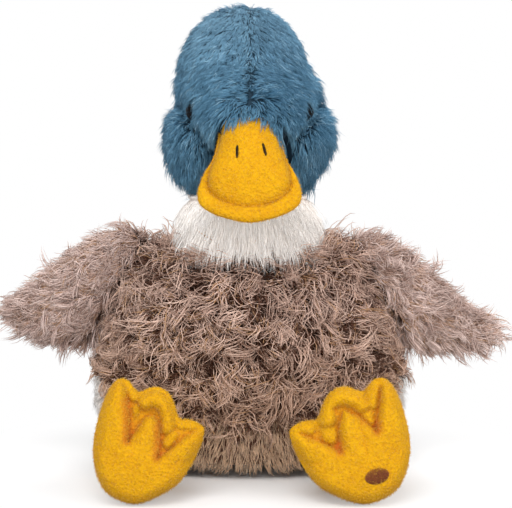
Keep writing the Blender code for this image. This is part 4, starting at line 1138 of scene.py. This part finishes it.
# %% Velour
def velour_paint(name="yellow_velour"):
    paint = Paint(name)
    mottle = paint.noise(1.6 * MM, 3.0)
    dimples = paint.node(
        "ShaderNodeTexVoronoi", {"feature": "SMOOTH_F1"}, {"Vector": paint.place(), "Scale": 1 / DIMPLE_SIZE}, "Distance"
    )
    rubbed = (paint.noise(11.0 * MM) - 0.5) * 0.9
    # Painted shade: the dimples are darker in their pits, where the bump sinks them
    tone = (0.45 + (mottle - 0.5) * 1.1 + rubbed + (dimples - 0.4) * 0.7).clipped()
    colour = paint.mix(tone, VELOUR_DARK, VELOUR_LIGHT)
    # Painted shade: deep orange where the fold number is high
    colour = paint.mix(paint.kept("fold").clipped(), colour, VELOUR_FOLD_SHADE)
    nap = dimples * 1.4 + mottle
    return paint.finish(
        colour, 0.8, Normal=paint.bump(nap, VELOUR_NAP), Sheen_Weight=0.08, Sheen_Roughness=0.4,
        Sheen_Tint=VELOUR_SHEEN, Specular_IOR_Level=0.1,
    )


def fuzz_paint():
    paint = Paint("yellow_fuzz")
    # Painted light: each fuzz fibre turns paler towards its tip
    tone = (paint.kept("chance") * 0.5 + paint.kept("along") * 0.5).clipped()
    return paint.finish(paint.mix(tone, VELOUR_LIGHT, VELOUR_TIP), 0.6, Sheen_Weight=0.2)


VELOUR_LIGHT, VELOUR_DARK = (0.69, 0.372, 0.005), (0.54, 0.243, 0.004)
VELOUR_FOLD_SHADE = (0.60, 0.165, 0.016)
VELOUR_SHEEN = (1.0, 0.75, 0.2)
VELOUR_TIP = (0.82, 0.49, 0.022)
VELOUR_NAP = 0.5 * MM
DIMPLE_SIZE = 1.2 * MM
velour = velour_paint()
velour_fuzz = fuzz_paint()
FUZZ = {
    "steps": 2, "length": 1.0 * MM, "length_spread": 0.3, "radius": 0.07 * MM, "sunk": 0.1 * MM,
    "root_lean": math.radians(15), "tip_lean": math.radians(60), "lean_spread": 0.3,
    "stray": 1.0, "sweep": 0.5, "droop": 0.0, "curl": 0.1 * MM, "curls": 0.5,
    "lock": 6, "cling": 0.3, "cling_from": 1.0,
}
print("velour and its fuzz are mixed")


# %% Outlines
def smooth_loop(points, count):
    """Evenly spaced points on a smooth closed curve through the given ones."""
    points = np.array(points, float)
    total = len(points)
    steps = np.linspace(0, 1, 16, endpoint=False)[:, None]
    fine = []
    for index in range(total):
        before, here, after, beyond = (points[(index + step) % total] for step in (-1, 0, 1, 2))
        bend = (2 * before - 5 * here + 4 * after - beyond) * steps**2
        twist = (3 * here - before - 3 * after + beyond) * steps**3
        fine.append(0.5 * (2 * here + (after - before) * steps + bend + twist))
    fine = np.concatenate(fine + [fine[0][:1]])
    along = np.concatenate([[0.0], np.cumsum(np.linalg.norm(np.diff(fine, axis=0), axis=1))])
    wanted = np.arange(count) * (along[-1] / count)
    return np.stack([np.interp(wanted, along, fine[:, axis]) for axis in (0, 1)], axis=1)


def closed_pad(name, front, back, fold):
    """A closed mesh from two grids of points that share their outermost ring and shrink to a middle."""
    rows, columns, _ = front.shape
    count = rows * columns
    faces = []
    for start, flip in ((0, False), (count, True)):
        row, column = np.meshgrid(np.arange(rows - 1), np.arange(columns), indexing="ij")
        near = start + row * columns + column
        next_near = start + row * columns + (column + 1) % columns
        quad = np.stack([near, next_near, next_near + columns, near + columns], axis=-1).reshape(-1, 4)
        faces.append(quad[:, ::-1] if flip else quad)
    mesh = mesh_of(name, np.concatenate([front.reshape(-1, 3), back.reshape(-1, 3)]), *faces)
    keep_numbers(mesh, "fold", fold)
    shape = bmesh.new()
    shape.from_mesh(mesh)
    bmesh.ops.remove_doubles(shape, verts=shape.verts, dist=0.01 * MM)
    bmesh.ops.recalc_face_normals(shape, faces=shape.faces)
    shape.to_mesh(mesh)
    shape.free()
    return mesh


print("outlines are smoothed by a curve through their points")

# %% [markdown]
# ## Feet
# A foot is a stuffed web of two velour panels. The sole has three pointed toes, and between them the top panel
# bulges forward over the seam, so that each seam is a deep V of folds. The heights are worked out point by point:
# a dome over the outline, a step down where the sole ends, and narrow folds where the stuffing pulls the cloth in.

# %% Feet
FOOT_SIZE = 45.0 * MM
FOOT_PLACE = np.array((55.5, -101.0, 18.4)) * MM
FOOT_ROLL, FOOT_LEAN = math.radians(15.0), math.radians(7.0)
FOOT_BACK = 10.5 * MM
FOOT_MIDDLE_SHARES = (0.0, 0.25)
FOOT_OUTLINE_SHARES = (
    (0.00, -0.41), (0.31, -0.34), (0.51, -0.10), (0.60, 0.18), (0.61, 0.53), (0.57, 0.78), (0.49, 0.895),
    (0.38, 0.90), (0.265, 0.82), (0.19, 0.83), (0.11, 0.89), (0.00, 0.92), (-0.13, 0.88), (-0.22, 0.78),
    (-0.29, 0.68), (-0.345, 0.64), (-0.42, 0.655), (-0.54, 0.65), (-0.65, 0.58), (-0.635, 0.31),
    (-0.555, 0.04), (-0.445, -0.13), (-0.22, -0.32),
)
# Each foot's sewn edge of the sole, from the tip of its outer toe to the tip of its inner toe
TOE_SEAM_SHARES = {
    "left": (
        (0.46, 0.86), (0.37, 0.62), (0.265, 0.355), (0.14, 0.54), (-0.02, 0.68), (-0.12, 0.50), (-0.17, 0.24),
        (-0.38, 0.42), (-0.62, 0.60),
    ),
    "right": (
        (0.42, 0.88), (0.375, 0.79), (0.32, 0.67), (0.235, 0.48), (0.19, 0.27), (0.115, 0.48), (0.07, 0.57),
        (-0.01, 0.61), (-0.07, 0.565), (-0.135, 0.49), (-0.18, 0.345), (-0.20, 0.17), (-0.322, 0.302), (-0.46, 0.50),
        (-0.61, 0.61),
    ),
}
BEYOND_TOES_SHARES = ((-0.95, 1.2), (0.64, 1.2))
# Stuffed lobes: the line along the middle, and the radius and height at the line's start and end
SOLE_LOBE_SHARES = (
    (((-0.18, -0.04), (0.18, -0.04)), (0.46, 0.46), (0.27, 0.27)),
    (((0.20, 0.04), (0.35, 0.40), (0.43, 0.69)), (0.36, 0.23), (0.27, 0.22)),
    (((0.02, 0.12), (-0.02, 0.58)), (0.26, 0.17), (0.26, 0.20)),
    (((-0.16, 0.08), (-0.49, 0.43)), (0.32, 0.20), (0.26, 0.17)),
)
BULGE_SHARES = {
    "left": (
        (((-0.22, 0.62), (-0.21, 0.78), (-0.07, 0.825), (0.055, 0.80), (0.15, 0.73), (0.19, 0.665)), (0.115, 0.105), (0.19, 0.16)),
        (((0.30, 0.66), (0.34, 0.80)), (0.10, 0.10), (0.13, 0.14)),
        (((0.21, 0.47), (0.215, 0.54)), (0.10, 0.10), (0.13, 0.12)),
        (((-0.235, 0.42), (-0.24, 0.50)), (0.115, 0.115), (0.13, 0.12)),
        (((-0.56, 0.585), (-0.44, 0.575)), (0.085, 0.11), (0.09, 0.12)),
    ),
    "right": (
        (((0.12, 0.73), (0.02, 0.79), (-0.10, 0.755), (-0.185, 0.64), (-0.215, 0.52)), (0.105, 0.10), (0.18, 0.15)),
        (((0.265, 0.755), (0.275, 0.77)), (0.08, 0.08), (0.13, 0.13)),
        (((0.20, 0.63), (0.195, 0.56)), (0.075, 0.06), (0.11, 0.09)),
        (((-0.265, 0.36), (-0.30, 0.44)), (0.09, 0.085), (0.13, 0.12)),
        (((-0.54, 0.61), (-0.36, 0.60)), (0.07, 0.09), (0.09, 0.11)),
    ),
}
# Where the stuffing of the right foot is folded in most, beside each toe: deep orange shade is painted along these
# lines
PAINTED_FOLD_SHARES = {
    "left": (((0.275, 0.36), (0.30, 0.42)), ((-0.175, 0.25), (-0.165, 0.30))),
    "right": (((0.35, 0.68), (0.27, 0.48), (0.225, 0.27)), ((-0.10, 0.50), (-0.145, 0.34), (-0.17, 0.19))),
}
PAINTED_FOLD_WIDTH = 2.1 * MM
PAINTED_FOLD_SHADE = 0.62
FOOT_WIDTHS = {"left": 1.02, "right": 0.93}
BACK_FOLD_SHARES = (((0.26, 0.84), (0.20, 0.20)), ((-0.33, 0.68), (-0.12, 0.18)))
FOOT_WEB = 3.0 * MM
SEAM_LEVEL = 2.2 * MM
SOLE_ROLL, BULGE_ROLL = 4.2 * MM, 2.4 * MM
ROUNDING = 6.0 * MM
FOLD_DEPTH = 3.4 * MM
FOLD_WIDTH = 1.4 * MM
HOLLOW_DEPTH = 5.0 * MM
HOLLOW_ROUNDS = 160
UNSHADED_EDGE = 3.0 * MM
FILLED_SHARE = 0.92
FILLING_ROUNDS = 5
FILLING_DEPTH, FILLING_SEAM = 0.8 * MM, -0.6 * MM
FOOT_COLUMNS = 300
FOOT_ROWS = 90


def scaled(shares, size):
    return [tuple(size * value for value in pair) for pair in shares]


def foot_frame(half, side):
    turn = Matrix.Rotation(-FOOT_LEAN, 4, "X") @ Matrix.Rotation(-side * FOOT_ROLL, 4, "Y")
    stand = Matrix.Rotation(math.pi / 2, 4, "X") @ Matrix.Scale(side * FOOT_WIDTHS[half], 4, (1, 0, 0))
    return Matrix.Translation(Vector(FOOT_PLACE * (side, 1, 1))) @ turn @ stand


def fold_depths(places, lines):
    deepest = np.zeros(len(places))
    for line in lines:
        away, share = distance_to_line(places, scaled(line, FOOT_SIZE))
        deepest = np.maximum(deepest, np.exp(-((away / FOLD_WIDTH) ** 2)) * (1 - 0.5 * share))
    return deepest


def rolled(away, reach):
    """From 0 at an edge to 1 as far in as the edge is rounded, along a quarter circle."""
    return np.sqrt(1 - (1 - np.clip(away / reach, 0, 1)) ** 2)


def lobe_heights(places, lobes):
    """Heights of the highest of some stuffed lobes over each place."""
    heights = np.full(len(places), FOOT_WEB)
    for line, radii, tops in lobes:
        away, share = distance_to_line(places, scaled(line, FOOT_SIZE))
        radius = FOOT_SIZE * (radii[0] + (radii[1] - radii[0]) * share)
        top = FOOT_SIZE * (tops[0] + (tops[1] - tops[0]) * share)
        heights = np.maximum(heights, top * np.sqrt(np.clip(1 - (away / radius) ** 2, 0, 1)))
    return heights


def inside(places, loop):
    """Which places are inside a closed line."""
    x, y = places.T
    within = np.zeros(len(places), bool)
    for (x0, y0), (x1, y1) in zip(loop, loop[1:] + loop[:1]):
        if y0 != y1:
            within ^= ((y0 > y) != (y1 > y)) & (x < x0 + (y - y0) * (x1 - x0) / (y1 - y0))
    return within


def foot_heights(places, outline, half):
    """Heights of the foot's front over its seam plane, the painted shade along the folds beside the toes, and a share
    that keeps painted shade off the edge.
    """
    seam_line = scaled(TOE_SEAM_SHARES[half], FOOT_SIZE)
    seam, _ = distance_to_line(places, seam_line)
    in_web = inside(places, seam_line + scaled(BEYOND_TOES_SHARES, FOOT_SIZE))
    bulges, sole = lobe_heights(places, BULGE_SHARES[half]), lobe_heights(places, SOLE_LOBE_SHARES)
    heights = np.where(in_web, bulges, sole)
    roll = rolled(seam, np.where(in_web, BULGE_ROLL, SOLE_ROLL))
    heights = SEAM_LEVEL + (heights - SEAM_LEVEL) * roll
    edge, _ = distance_to_line(places, np.concatenate([outline, outline[:1]]))
    glow = np.zeros(len(places))
    for line in PAINTED_FOLD_SHARES[half]:
        away, _ = distance_to_line(places, scaled(line, FOOT_SIZE))
        glow = np.maximum(glow, PAINTED_FOLD_SHADE * np.exp(-((away / PAINTED_FOLD_WIDTH) ** 2)))
    return heights * rolled(edge, ROUNDING), glow, np.clip(edge / UNSHADED_EDGE - 1, 0, 1)


def beside(grid):
    """The four neighbours of each point of a ringed grid."""
    inner, outer = np.concatenate([grid[1:], grid[-1:]]), np.concatenate([grid[:1], grid[:-1]])
    return np.stack([np.roll(grid, 1, axis=1), np.roll(grid, -1, axis=1), inner, outer])


def hollows(heights, rows):
    """From 0 to 1, how far each point of a ringed grid lies below its smoothed surroundings."""
    grid = heights.reshape(rows, -1)
    level = grid.copy()
    for _ in range(HOLLOW_ROUNDS):
        level = beside(level).mean(axis=0)
    return np.clip((level - grid) / HOLLOW_DEPTH, 0, 1).ravel()


def foot_grids(half, side, outermost):
    """The foot's front and back as grids of heights over flat places, from this share of the outline inwards."""
    outline = smooth_loop(scaled(FOOT_OUTLINE_SHARES, FOOT_SIZE), FOOT_COLUMNS)
    middle = np.array(FOOT_MIDDLE_SHARES) * FOOT_SIZE
    rings = outermost * np.linspace(1, 0, FOOT_ROWS) ** 0.8
    places = (middle + (outline[None] - middle) * rings[:, None, None]).reshape(-1, 2)
    front, glow, away_from_edge = foot_heights(places, outline, half)
    dome = np.repeat(np.sqrt(1 - rings**2.4), FOOT_COLUMNS)
    back = -FOOT_BACK * dome + FOLD_DEPTH * fold_depths(places, BACK_FOLD_SHARES) * dome
    return places, front, back, glow, away_from_edge


def foot_places(places, heights, half, side):
    local = np.concatenate([places, heights[:, None], np.ones((len(places), 1))], axis=1)
    return (local @ np.array(foot_frame(half, side)).T)[:, :3].reshape(FOOT_ROWS, FOOT_COLUMNS, 3)


def foot_mesh(name, half, side):
    places, front, back, glow, away_from_edge = foot_grids(half, side, 1.0)
    # Painted shade: deep orange in hollows and along the folds, left off near the edge
    shade = (glow + hollows(front, FOOT_ROWS)) * away_from_edge
    grids = [foot_places(places, heights, half, side) for heights in (front, back)]
    mesh = closed_pad(name, *grids, np.concatenate([shade, np.zeros_like(shade)]))
    return shaped(mesh, ("SMOOTH", {"factor": 0.5, "iterations": 2}))


def foot_filling(name, half, side):
    """The stuffing of a foot: the same form, drawn in from every fold and from the outline."""
    places, front, back, _, _ = foot_grids(half, side, FILLED_SHARE)
    front, back = front.reshape(FOOT_ROWS, -1), back.reshape(FOOT_ROWS, -1)
    for _ in range(FILLING_ROUNDS):
        front = np.minimum(front, beside(front).min(axis=0))
        back = np.maximum(back, beside(back).max(axis=0))
    front = np.maximum(front - FILLING_DEPTH, FILLING_SEAM).ravel()
    back = np.minimum(back + FILLING_DEPTH, FILLING_SEAM - 0.2 * MM).ravel()
    back[:FOOT_COLUMNS] = front[:FOOT_COLUMNS] = FILLING_SEAM
    grids = [foot_places(places, heights, half, side) for heights in (front, back)]
    return closed_pad(name, *grids, np.zeros(2 * len(places)))


def any_way(places, normals):
    return np.tile((0.3, -0.2, -1.0), (len(places), 1))


for half, side in (("left", 1), ("right", -1)):
    mesh = foot_mesh(f"foot_{half}", half, side)
    fuzz = grow(f"foot_{half}_fuzz", mesh, 14000, any_way, everywhere, FUZZ, 61)
    add_piece(fuzz.name, fuzz, velour_fuzz, f"leg_{half}")
    nodes = [f"foot_{half}_{kind}_panel" for kind in ("sole", "top")]
    add_piece(f"foot_{half}", mesh, velour, f"leg_{half}", nodes)

# %% [markdown]
# ## Legs
# The legs are short stuffed tubes of the same velour that run from the hips to the backs of the feet.

# %% Legs
LEG_VOXEL = 1.3 * MM
LEG_BEND_SHARES = (0.05, 0.45)
for half in ("left", "right"):
    nodes = [f"leg_{half}_{kind}" for kind in ("cover", "stuffing")]
    low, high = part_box(nodes[0])
    middle = (low + high) / 2
    bend = [(middle.x, high.y + (low.y - high.y) * share, middle.z) for share in LEG_BEND_SHARES]
    BENDS[nodes[1]] = bend
    leg_skin = skin_under(f"leg_{half}_tube", nodes, 0.2 * MM, LEG_VOXEL)
    keep_numbers(leg_skin, "fold", np.zeros(len(leg_skin.vertices)))
    piece = add_piece(leg_skin.name, leg_skin, velour, f"leg_{half}", nodes[:1], bend)

# %% [markdown]
# ## Bill
# The bill is two velour panels sewn round the edge, with a second row of stitches inside it, so that the filled
# middle rises from a flat rim. The rise grows towards the face. The nostrils are short bars of dark satin stitch.

# %% Bill
BILL_TIP = np.array((0.0, -85.0, 140.0)) * MM
BILL_PITCH = math.radians(53.0)
BILL_LENGTH, BILL_HALF_WIDTH = 80.0 * MM, 26.3 * MM
BILL_CREST, BILL_KEEL, BILL_RIM = 14.5 * MM, 8.0 * MM, 2.6 * MM
BILL_MIDDLE_SHARE = 0.33
BILL_RIM_SHARES = (
    (0.000, 0.00), (0.019, 0.32), (0.062, 0.68), (0.125, 0.935), (0.200, 1.00), (0.275, 0.962), (0.350, 0.882),
    (0.425, 0.76), (0.513, 0.673), (0.650, 0.61), (0.825, 0.59), (0.970, 0.45), (1.000, 0.00),
)
BILL_STITCH_SHARES = (
    (0.107, 0.00), (0.115, 0.21), (0.137, 0.44), (0.175, 0.63), (0.225, 0.76), (0.281, 0.787), (0.350, 0.76),
    (0.425, 0.684), (0.525, 0.60), (0.650, 0.544), (0.825, 0.53), (0.960, 0.38), (0.985, 0.00),
)
BILL_CREST_SHARES = (
    (0.10, 0.12), (0.18, 0.40), (0.28, 0.66), (0.42, 0.88), (0.56, 0.98), (0.68, 0.85), (0.82, 0.40), (1.00, 0.10),
)
BILL_COLUMNS = 240
RIM_ROWS, CREST_ROWS = 14, 40
STITCH_DEPTH = 1.3 * MM
STITCH_WIDTH = 1.1 * MM


def bill_outline(shares):
    right = [(BILL_HALF_WIDTH * wide, BILL_LENGTH * far) for far, wide in shares]
    return smooth_loop(right + [(-across, far) for across, far in reversed(right[1:-1])], BILL_COLUMNS)


def bill_places(flat, rise):
    back = np.array((0.0, math.cos(BILL_PITCH), math.sin(BILL_PITCH)))
    up = np.array((0.0, -math.sin(BILL_PITCH), math.cos(BILL_PITCH)))
    return BILL_TIP + flat[:, :1] * (1, 0, 0) + flat[:, 1:] * back + rise[:, None] * up


def bill_rows():
    """Flat places from the rim to the middle, how far across the rim each is, and how far up the middle."""
    rim, stitch = bill_outline(BILL_RIM_SHARES), bill_outline(BILL_STITCH_SHARES)
    middle = np.array((0.0, BILL_MIDDLE_SHARE * BILL_LENGTH))
    rows, on_rim, inward = [], [], []
    for share in np.sin(np.linspace(0, math.pi / 2, RIM_ROWS)) ** 1.5:
        rows.append(rim + (stitch - rim) * share)
        on_rim.append(share)
        inward.append(1.0)
    for share in np.sin(np.linspace(math.pi / 2, 0, CREST_ROWS))[1:]:
        rows.append(middle + (stitch - middle) * share)
        on_rim.append(1.0)
        inward.append(share)
    return np.array(rows), np.array(on_rim), np.array(inward)


def bill_mesh():
    rows, on_rim, inward = bill_rows()
    flat = rows.reshape(-1, 2)
    on_rim = np.repeat(on_rim, BILL_COLUMNS)
    dome = np.sqrt(1 - np.repeat(inward, BILL_COLUMNS) ** 2)
    crest = np.interp(flat[:, 1] / BILL_LENGTH, *zip(*BILL_CREST_SHARES))
    rim_rise = BILL_RIM * np.sqrt(1 - (1 - np.clip(on_rim * 2.5, 0, 1)) ** 2)
    stitch_away, _ = distance_to_line(flat, bill_outline(BILL_STITCH_SHARES))
    groove = np.exp(-((stitch_away / STITCH_WIDTH) ** 2))
    grids = []
    for size, facing in ((BILL_CREST, 1), (BILL_KEEL, -1)):
        rise = rim_rise + size * crest * dome**0.8 - STITCH_DEPTH * groove
        rise = np.where(on_rim == 0, 0.0, rise)
        grids.append(bill_places(flat, facing * rise).reshape(len(rows), BILL_COLUMNS, 3))
    # Painted shade: the stitch groove gets a little of the folds' deep orange
    return closed_pad("bill", *grids, np.tile(groove * 0.05, 2))


bill = bill_mesh()
fuzz = grow("bill_fuzz", bill, 12000, any_way, lambda places, normals: places[:, 1] < -52.0 * MM, FUZZ, 71)
add_piece("bill_fuzz", fuzz, velour_fuzz, "head")
add_piece("bill", bill, velour, "head", ("bill_top_panel", "bill_bottom_panel"))


# %% Threads
def thread_paint(name, dark, light):
    """Satin thread: a twisted fibre with a soft shine."""
    paint = Paint(name)
    tone = (paint.kept("chance") * 0.5 + paint.noise(0.6 * MM) * 0.6).clipped()
    return paint.finish(paint.mix(tone, dark, light), 0.6, Specular_IOR_Level=0.2)


THREAD_RADIUS = 0.17 * MM
BROWN_THREAD = ((0.012, 0.006, 0.003), (0.030, 0.015, 0.008))
MOTIF_THREAD = ((0.12, 0.030, 0.014), (0.30, 0.085, 0.035))
nostril_thread = thread_paint("brown_thread", *BROWN_THREAD)
motif_thread = thread_paint("motif_thread", *MOTIF_THREAD)


def satin_stitches(name, wall, starts, ends, away, bulge):
    """Threads laid side by side over a surface: each dips into the cloth at both ends and arches between them."""
    steps = np.linspace(0, 1, 7)
    paths = []
    for start, end in zip(starts, ends):
        line = []
        for step in steps:
            over = Vector(start + (end - start) * step)
            hit, normal, _, _ = wall.ray_cast(over + Vector(away), -Vector(away).normalized())
            line.append(np.array(hit) + np.array(away) / np.linalg.norm(away) * (bulge * math.sin(math.pi * step) - THREAD_RADIUS))
        paths.append(line)
    paths = np.array(paths)
    count = len(paths)
    chance = np.random.default_rng(7).random(count)
    radius = np.full(count, THREAD_RADIUS)
    across = np.cross(paths[:, -1] - paths[:, 0], np.array(away))
    return strand_mesh(name, paths, unit(across), radius, chance, chance)


NOSTRIL_LENGTH, NOSTRIL_WIDTH = 6.5 * MM, 1.6 * MM
NOSTRIL_FROM_TIP = 33.5 * MM
# For each nostril: how far it is from the middle, how far its top leans in, and how much higher it stands
NOSTRIL_PLACES = {"left": (7.6 * MM, 1.6 * MM, 0.8 * MM), "right": (-6.1 * MM, 0.1 * MM, -0.6 * MM)}
NOSTRIL_STITCHES = 22
STITCH_BULGE = 0.75 * MM
STITCH_SLANT = 0.5 * MM
bill_wall = wall_of(bill)
bill_up = np.array((0.0, -math.sin(BILL_PITCH), math.cos(BILL_PITCH)))
for half, (aside, leaning, higher) in NOSTRIL_PLACES.items():
    share = np.linspace(-0.5, 0.5, NOSTRIL_STITCHES)
    along = NOSTRIL_FROM_TIP + higher + share * NOSTRIL_LENGTH
    centre = aside - share * leaning
    width = NOSTRIL_WIDTH * np.sqrt(np.clip(1 - np.linspace(-0.97, 0.97, NOSTRIL_STITCHES) ** 4, 0, 1))
    flat = np.zeros(NOSTRIL_STITCHES)
    starts = bill_places(np.stack([centre - width / 2, along - STITCH_SLANT / 2], axis=1), flat)
    ends = bill_places(np.stack([centre + width / 2, along + STITCH_SLANT / 2], axis=1), flat)
    mesh = satin_stitches(f"nostril_{half}", bill_wall, starts, ends, bill_up * 60.0 * MM, STITCH_BULGE)
    add_piece(f"nostril_{half}", mesh, nostril_thread, "head", (f"nostril_stitch_{half}",))

# %% [markdown]
# ## A plain motif on the sole
# A small oval of satin stitches stands on the left sole, where such toys are embroidered.

# %% Sole motif
MOTIF_MIDDLE_SHARES = (0.14, -0.11)
MOTIF_HALF_WIDTH, MOTIF_HALF_HEIGHT = 6.0 * MM, 4.6 * MM
MOTIF_STITCHES = 44
to_world = np.array(foot_frame("left", 1))
rows = np.linspace(-0.98, 0.98, MOTIF_STITCHES)
middle = np.array(MOTIF_MIDDLE_SHARES) * FOOT_SIZE
chords = MOTIF_HALF_HEIGHT * np.sqrt(1 - rows**2)
ends = []
for direction in (-1, 1):
    flat = np.stack([middle[0] + rows * MOTIF_HALF_WIDTH, middle[1] + direction * chords], axis=1)
    local = np.concatenate([flat, np.zeros((MOTIF_STITCHES, 1)), np.ones((MOTIF_STITCHES, 1))], axis=1)
    ends.append((local @ to_world.T)[:, :3])
sole_wall = wall_of(bpy.data.objects["foot_left"].data)
mesh = satin_stitches("sole_motif", sole_wall, *ends, to_world[:3, 2] * 40.0 * MM, STITCH_BULGE)
add_piece("sole_motif", mesh, motif_thread, "leg_left")

# %% [markdown]
# ## Eyes
# Black moulded safety eyes, each a domed button on a stem that a washer holds from inside. They sit deep in the
# fur, so only a dark glint shows.


# %% Eyes
def plastic_paint(name, colour, roughness, shine):
    paint = Paint(name)
    haze = paint.noise(0.8 * MM)
    shade = paint.mix(haze * 0.3, colour, tuple(min(1.0, value * 1.4 + 0.01) for value in colour))
    return paint.finish(shade, roughness + haze * 0.06, Specular_IOR_Level=shine)


eye_plastic = plastic_paint("black_eye", (0.002, 0.002, 0.003), 0.42, 0.07)
washer_plastic = plastic_paint("washer_plastic", (0.78, 0.78, 0.75), 0.42, 0.5)
EYE_COLUMNS = 40


def turned_mesh(name, profile, frame_matrix, ring=False):
    """A form turned about its own Z, from pairs of radius and height."""
    angles = np.arange(EYE_COLUMNS) * (2 * math.pi / EYE_COLUMNS)
    points = np.array([[(r * math.cos(a), r * math.sin(a), z, 1.0) for a in angles] for r, z in profile])
    rows = len(profile)
    placed = (points.reshape(-1, 4) @ np.array(frame_matrix).T)[:, :3]
    row, column = np.meshgrid(np.arange(rows if ring else rows - 1), np.arange(EYE_COLUMNS), indexing="ij")
    near, far = row * EYE_COLUMNS, (row + 1) % rows * EYE_COLUMNS
    after = (column + 1) % EYE_COLUMNS
    mesh = mesh_of(name, placed, np.stack([near + column, near + after, far + after, far + column], axis=-1).reshape(-1, 4))
    shape = bmesh.new()
    shape.from_mesh(mesh)
    bmesh.ops.remove_doubles(shape, verts=shape.verts, dist=0.001 * MM)
    bmesh.ops.recalc_face_normals(shape, faces=shape.faces)
    shape.to_mesh(mesh)
    shape.free()
    return mesh


def node_points(node):
    return np.array([vert.co for vert in frame["nodes"][node].data.vertices])


for half, side in (("left", 1), ("right", -1)):
    outward = np.array((side * math.sin(EYE_ANGLE), -math.cos(EYE_ANGLE), 0.0))
    turn = Vector(outward).to_track_quat("Z", "Y").to_matrix().to_4x4()
    for node, paint in ((f"eye_{half}", eye_plastic), (f"eye_washer_{half}", washer_plastic)):
        points = node_points(node)
        low, high = points.min(axis=0), points.max(axis=0)
        heights = (points - (low + high) / 2) @ outward
        middle = points.mean(axis=0)
        axis_point = middle - outward * (middle @ outward)
        radii = np.linalg.norm(points - axis_point - (points @ outward)[:, None] * outward, axis=1)
        base = (points @ outward).min()
        top = (points @ outward).max()
        place = Matrix.Translation(Vector(axis_point)) @ turn
        if node.startswith("eye_washer"):
            hole = radii.min()
            profile = [(hole, base), (radii.max(), base), (radii.max(), top), (hole, top)]
            mesh = turned_mesh(node + "_ring", profile, place, True)
        else:
            rim = (points @ outward)[radii > radii.max() * 0.99].min()
            stem = radii[(points @ outward) < rim - 1.0 * MM].max()
            bows = np.linspace(0, math.pi / 2, 14)
            dome = [(radii.max() * math.cos(bow), rim + (top - rim) * math.sin(bow)) for bow in bows]
            mesh = turned_mesh(node + "_button", [(0.0, base), (stem, base), (stem, rim)] + dome, place)
        add_piece(mesh.name, mesh, paint, "head", (node,))

# %% [markdown]
# ## Fillings
# Inside, each part is packed with loose fibre, which is a lumpy mass, and a cloth bag of pellets lies on the
# underside so that the duck sits.


# %% Fillings
def filling_paint(name, colour, dark, size):
    paint = Paint(name)
    wisps = paint.noise(size, 4.0, (1.0, 1.0, 0.4))
    return paint.finish(paint.mix(wisps, dark, colour), 0.9, Normal=paint.bump(wisps, 0.8 * MM))


fibre = filling_paint("stuffing", (0.88, 0.88, 0.86), (0.70, 0.70, 0.68), 2.5 * MM)
pellet_cloth = filling_paint("pellet_cloth", (0.74, 0.74, 0.70), (0.55, 0.55, 0.50), 0.6 * MM)
LUMP_SIZE = 9.0 * MM
LUMP_DEPTH = 0.9 * MM
COVER_DEPTH, LEAST_COVER = 1.6 * MM, 0.7 * MM
FILLING_VOXEL = 1.4 * MM
COVERS = {
    "head_stuffing": "head_skin", "bill_stuffing": "bill",
    "wing_left_stuffing": "wing_left_skin", "wing_right_stuffing": "wing_right_skin",
    "leg_left_stuffing": "leg_left_tube", "leg_right_stuffing": "leg_right_tube",
}
FOOT_FILLINGS = {"foot_left_stuffing": ("left", 1), "foot_right_stuffing": ("right", -1)}


def lumpy(mesh, size, depth, seed):
    """The mesh drawn in by lumps of about this size and depth."""
    points, normals, _ = arrays_of(mesh)
    rng = np.random.default_rng(seed)
    height = np.zeros(len(points))
    for _ in range(6):
        wave = unit(rng.normal(size=3)) * 2 * math.pi / (size * rng.uniform(0.8, 1.6))
        height += np.sin(points @ wave + rng.uniform(0, 2 * math.pi)) / 6
    moved = points - normals * ((height + 1) * depth)[:, None]
    return move_points(mesh, moved)


def drawn_in(name, cover):
    """A filling that follows its sewn cover from inside."""
    mesh = shaped(
        cover.copy(),
        ("REMESH", {"mode": "VOXEL", "voxel_size": FILLING_VOXEL}),
        ("DISPLACE", {"strength": -COVER_DEPTH, "mid_level": 0.0}),
        ("SMOOTH", {"factor": 0.5, "iterations": 2}),
    )
    mesh.name = name
    return largest_island(mesh)


def kept_inside(mesh, cover):
    """The filling with every point of it at least a little inside its cover."""
    wall = wall_of(cover)
    for _ in range(2):
        for vert in mesh.vertices:
            hit, normal, _, _ = wall.find_nearest(vert.co)
            if (hit - vert.co).dot(normal) < LEAST_COVER:
                vert.co = hit - normal * LEAST_COVER
    mesh.update()
    return mesh


for body, nodes in frame["record"]["behaviour"]["bodies"].items():
    for node in nodes:
        is_bag = node == "pellet_bag"
        if not (is_bag or node.endswith("stuffing") or node == "neck_core"):
            continue
        if node in COVERS:
            mesh = drawn_in(node + "_filling", bpy.data.objects[COVERS[node]].data)
        elif node in FOOT_FILLINGS:
            mesh = foot_filling(node + "_filling", *FOOT_FILLINGS[node])
        else:
            mesh = skin_under(node + "_filling", (node,), 0.1 * MM, 2.0 * MM)
        if node not in FOOT_FILLINGS:
            mesh = lumpy(mesh, LUMP_SIZE, LUMP_DEPTH, 81)
        if node in COVERS:
            mesh = kept_inside(mesh, bpy.data.objects[COVERS[node]].data)
        paint = pellet_cloth if is_bag else fibre
        piece = add_piece(mesh.name, mesh, paint, body, (node,), BENDS.get(node))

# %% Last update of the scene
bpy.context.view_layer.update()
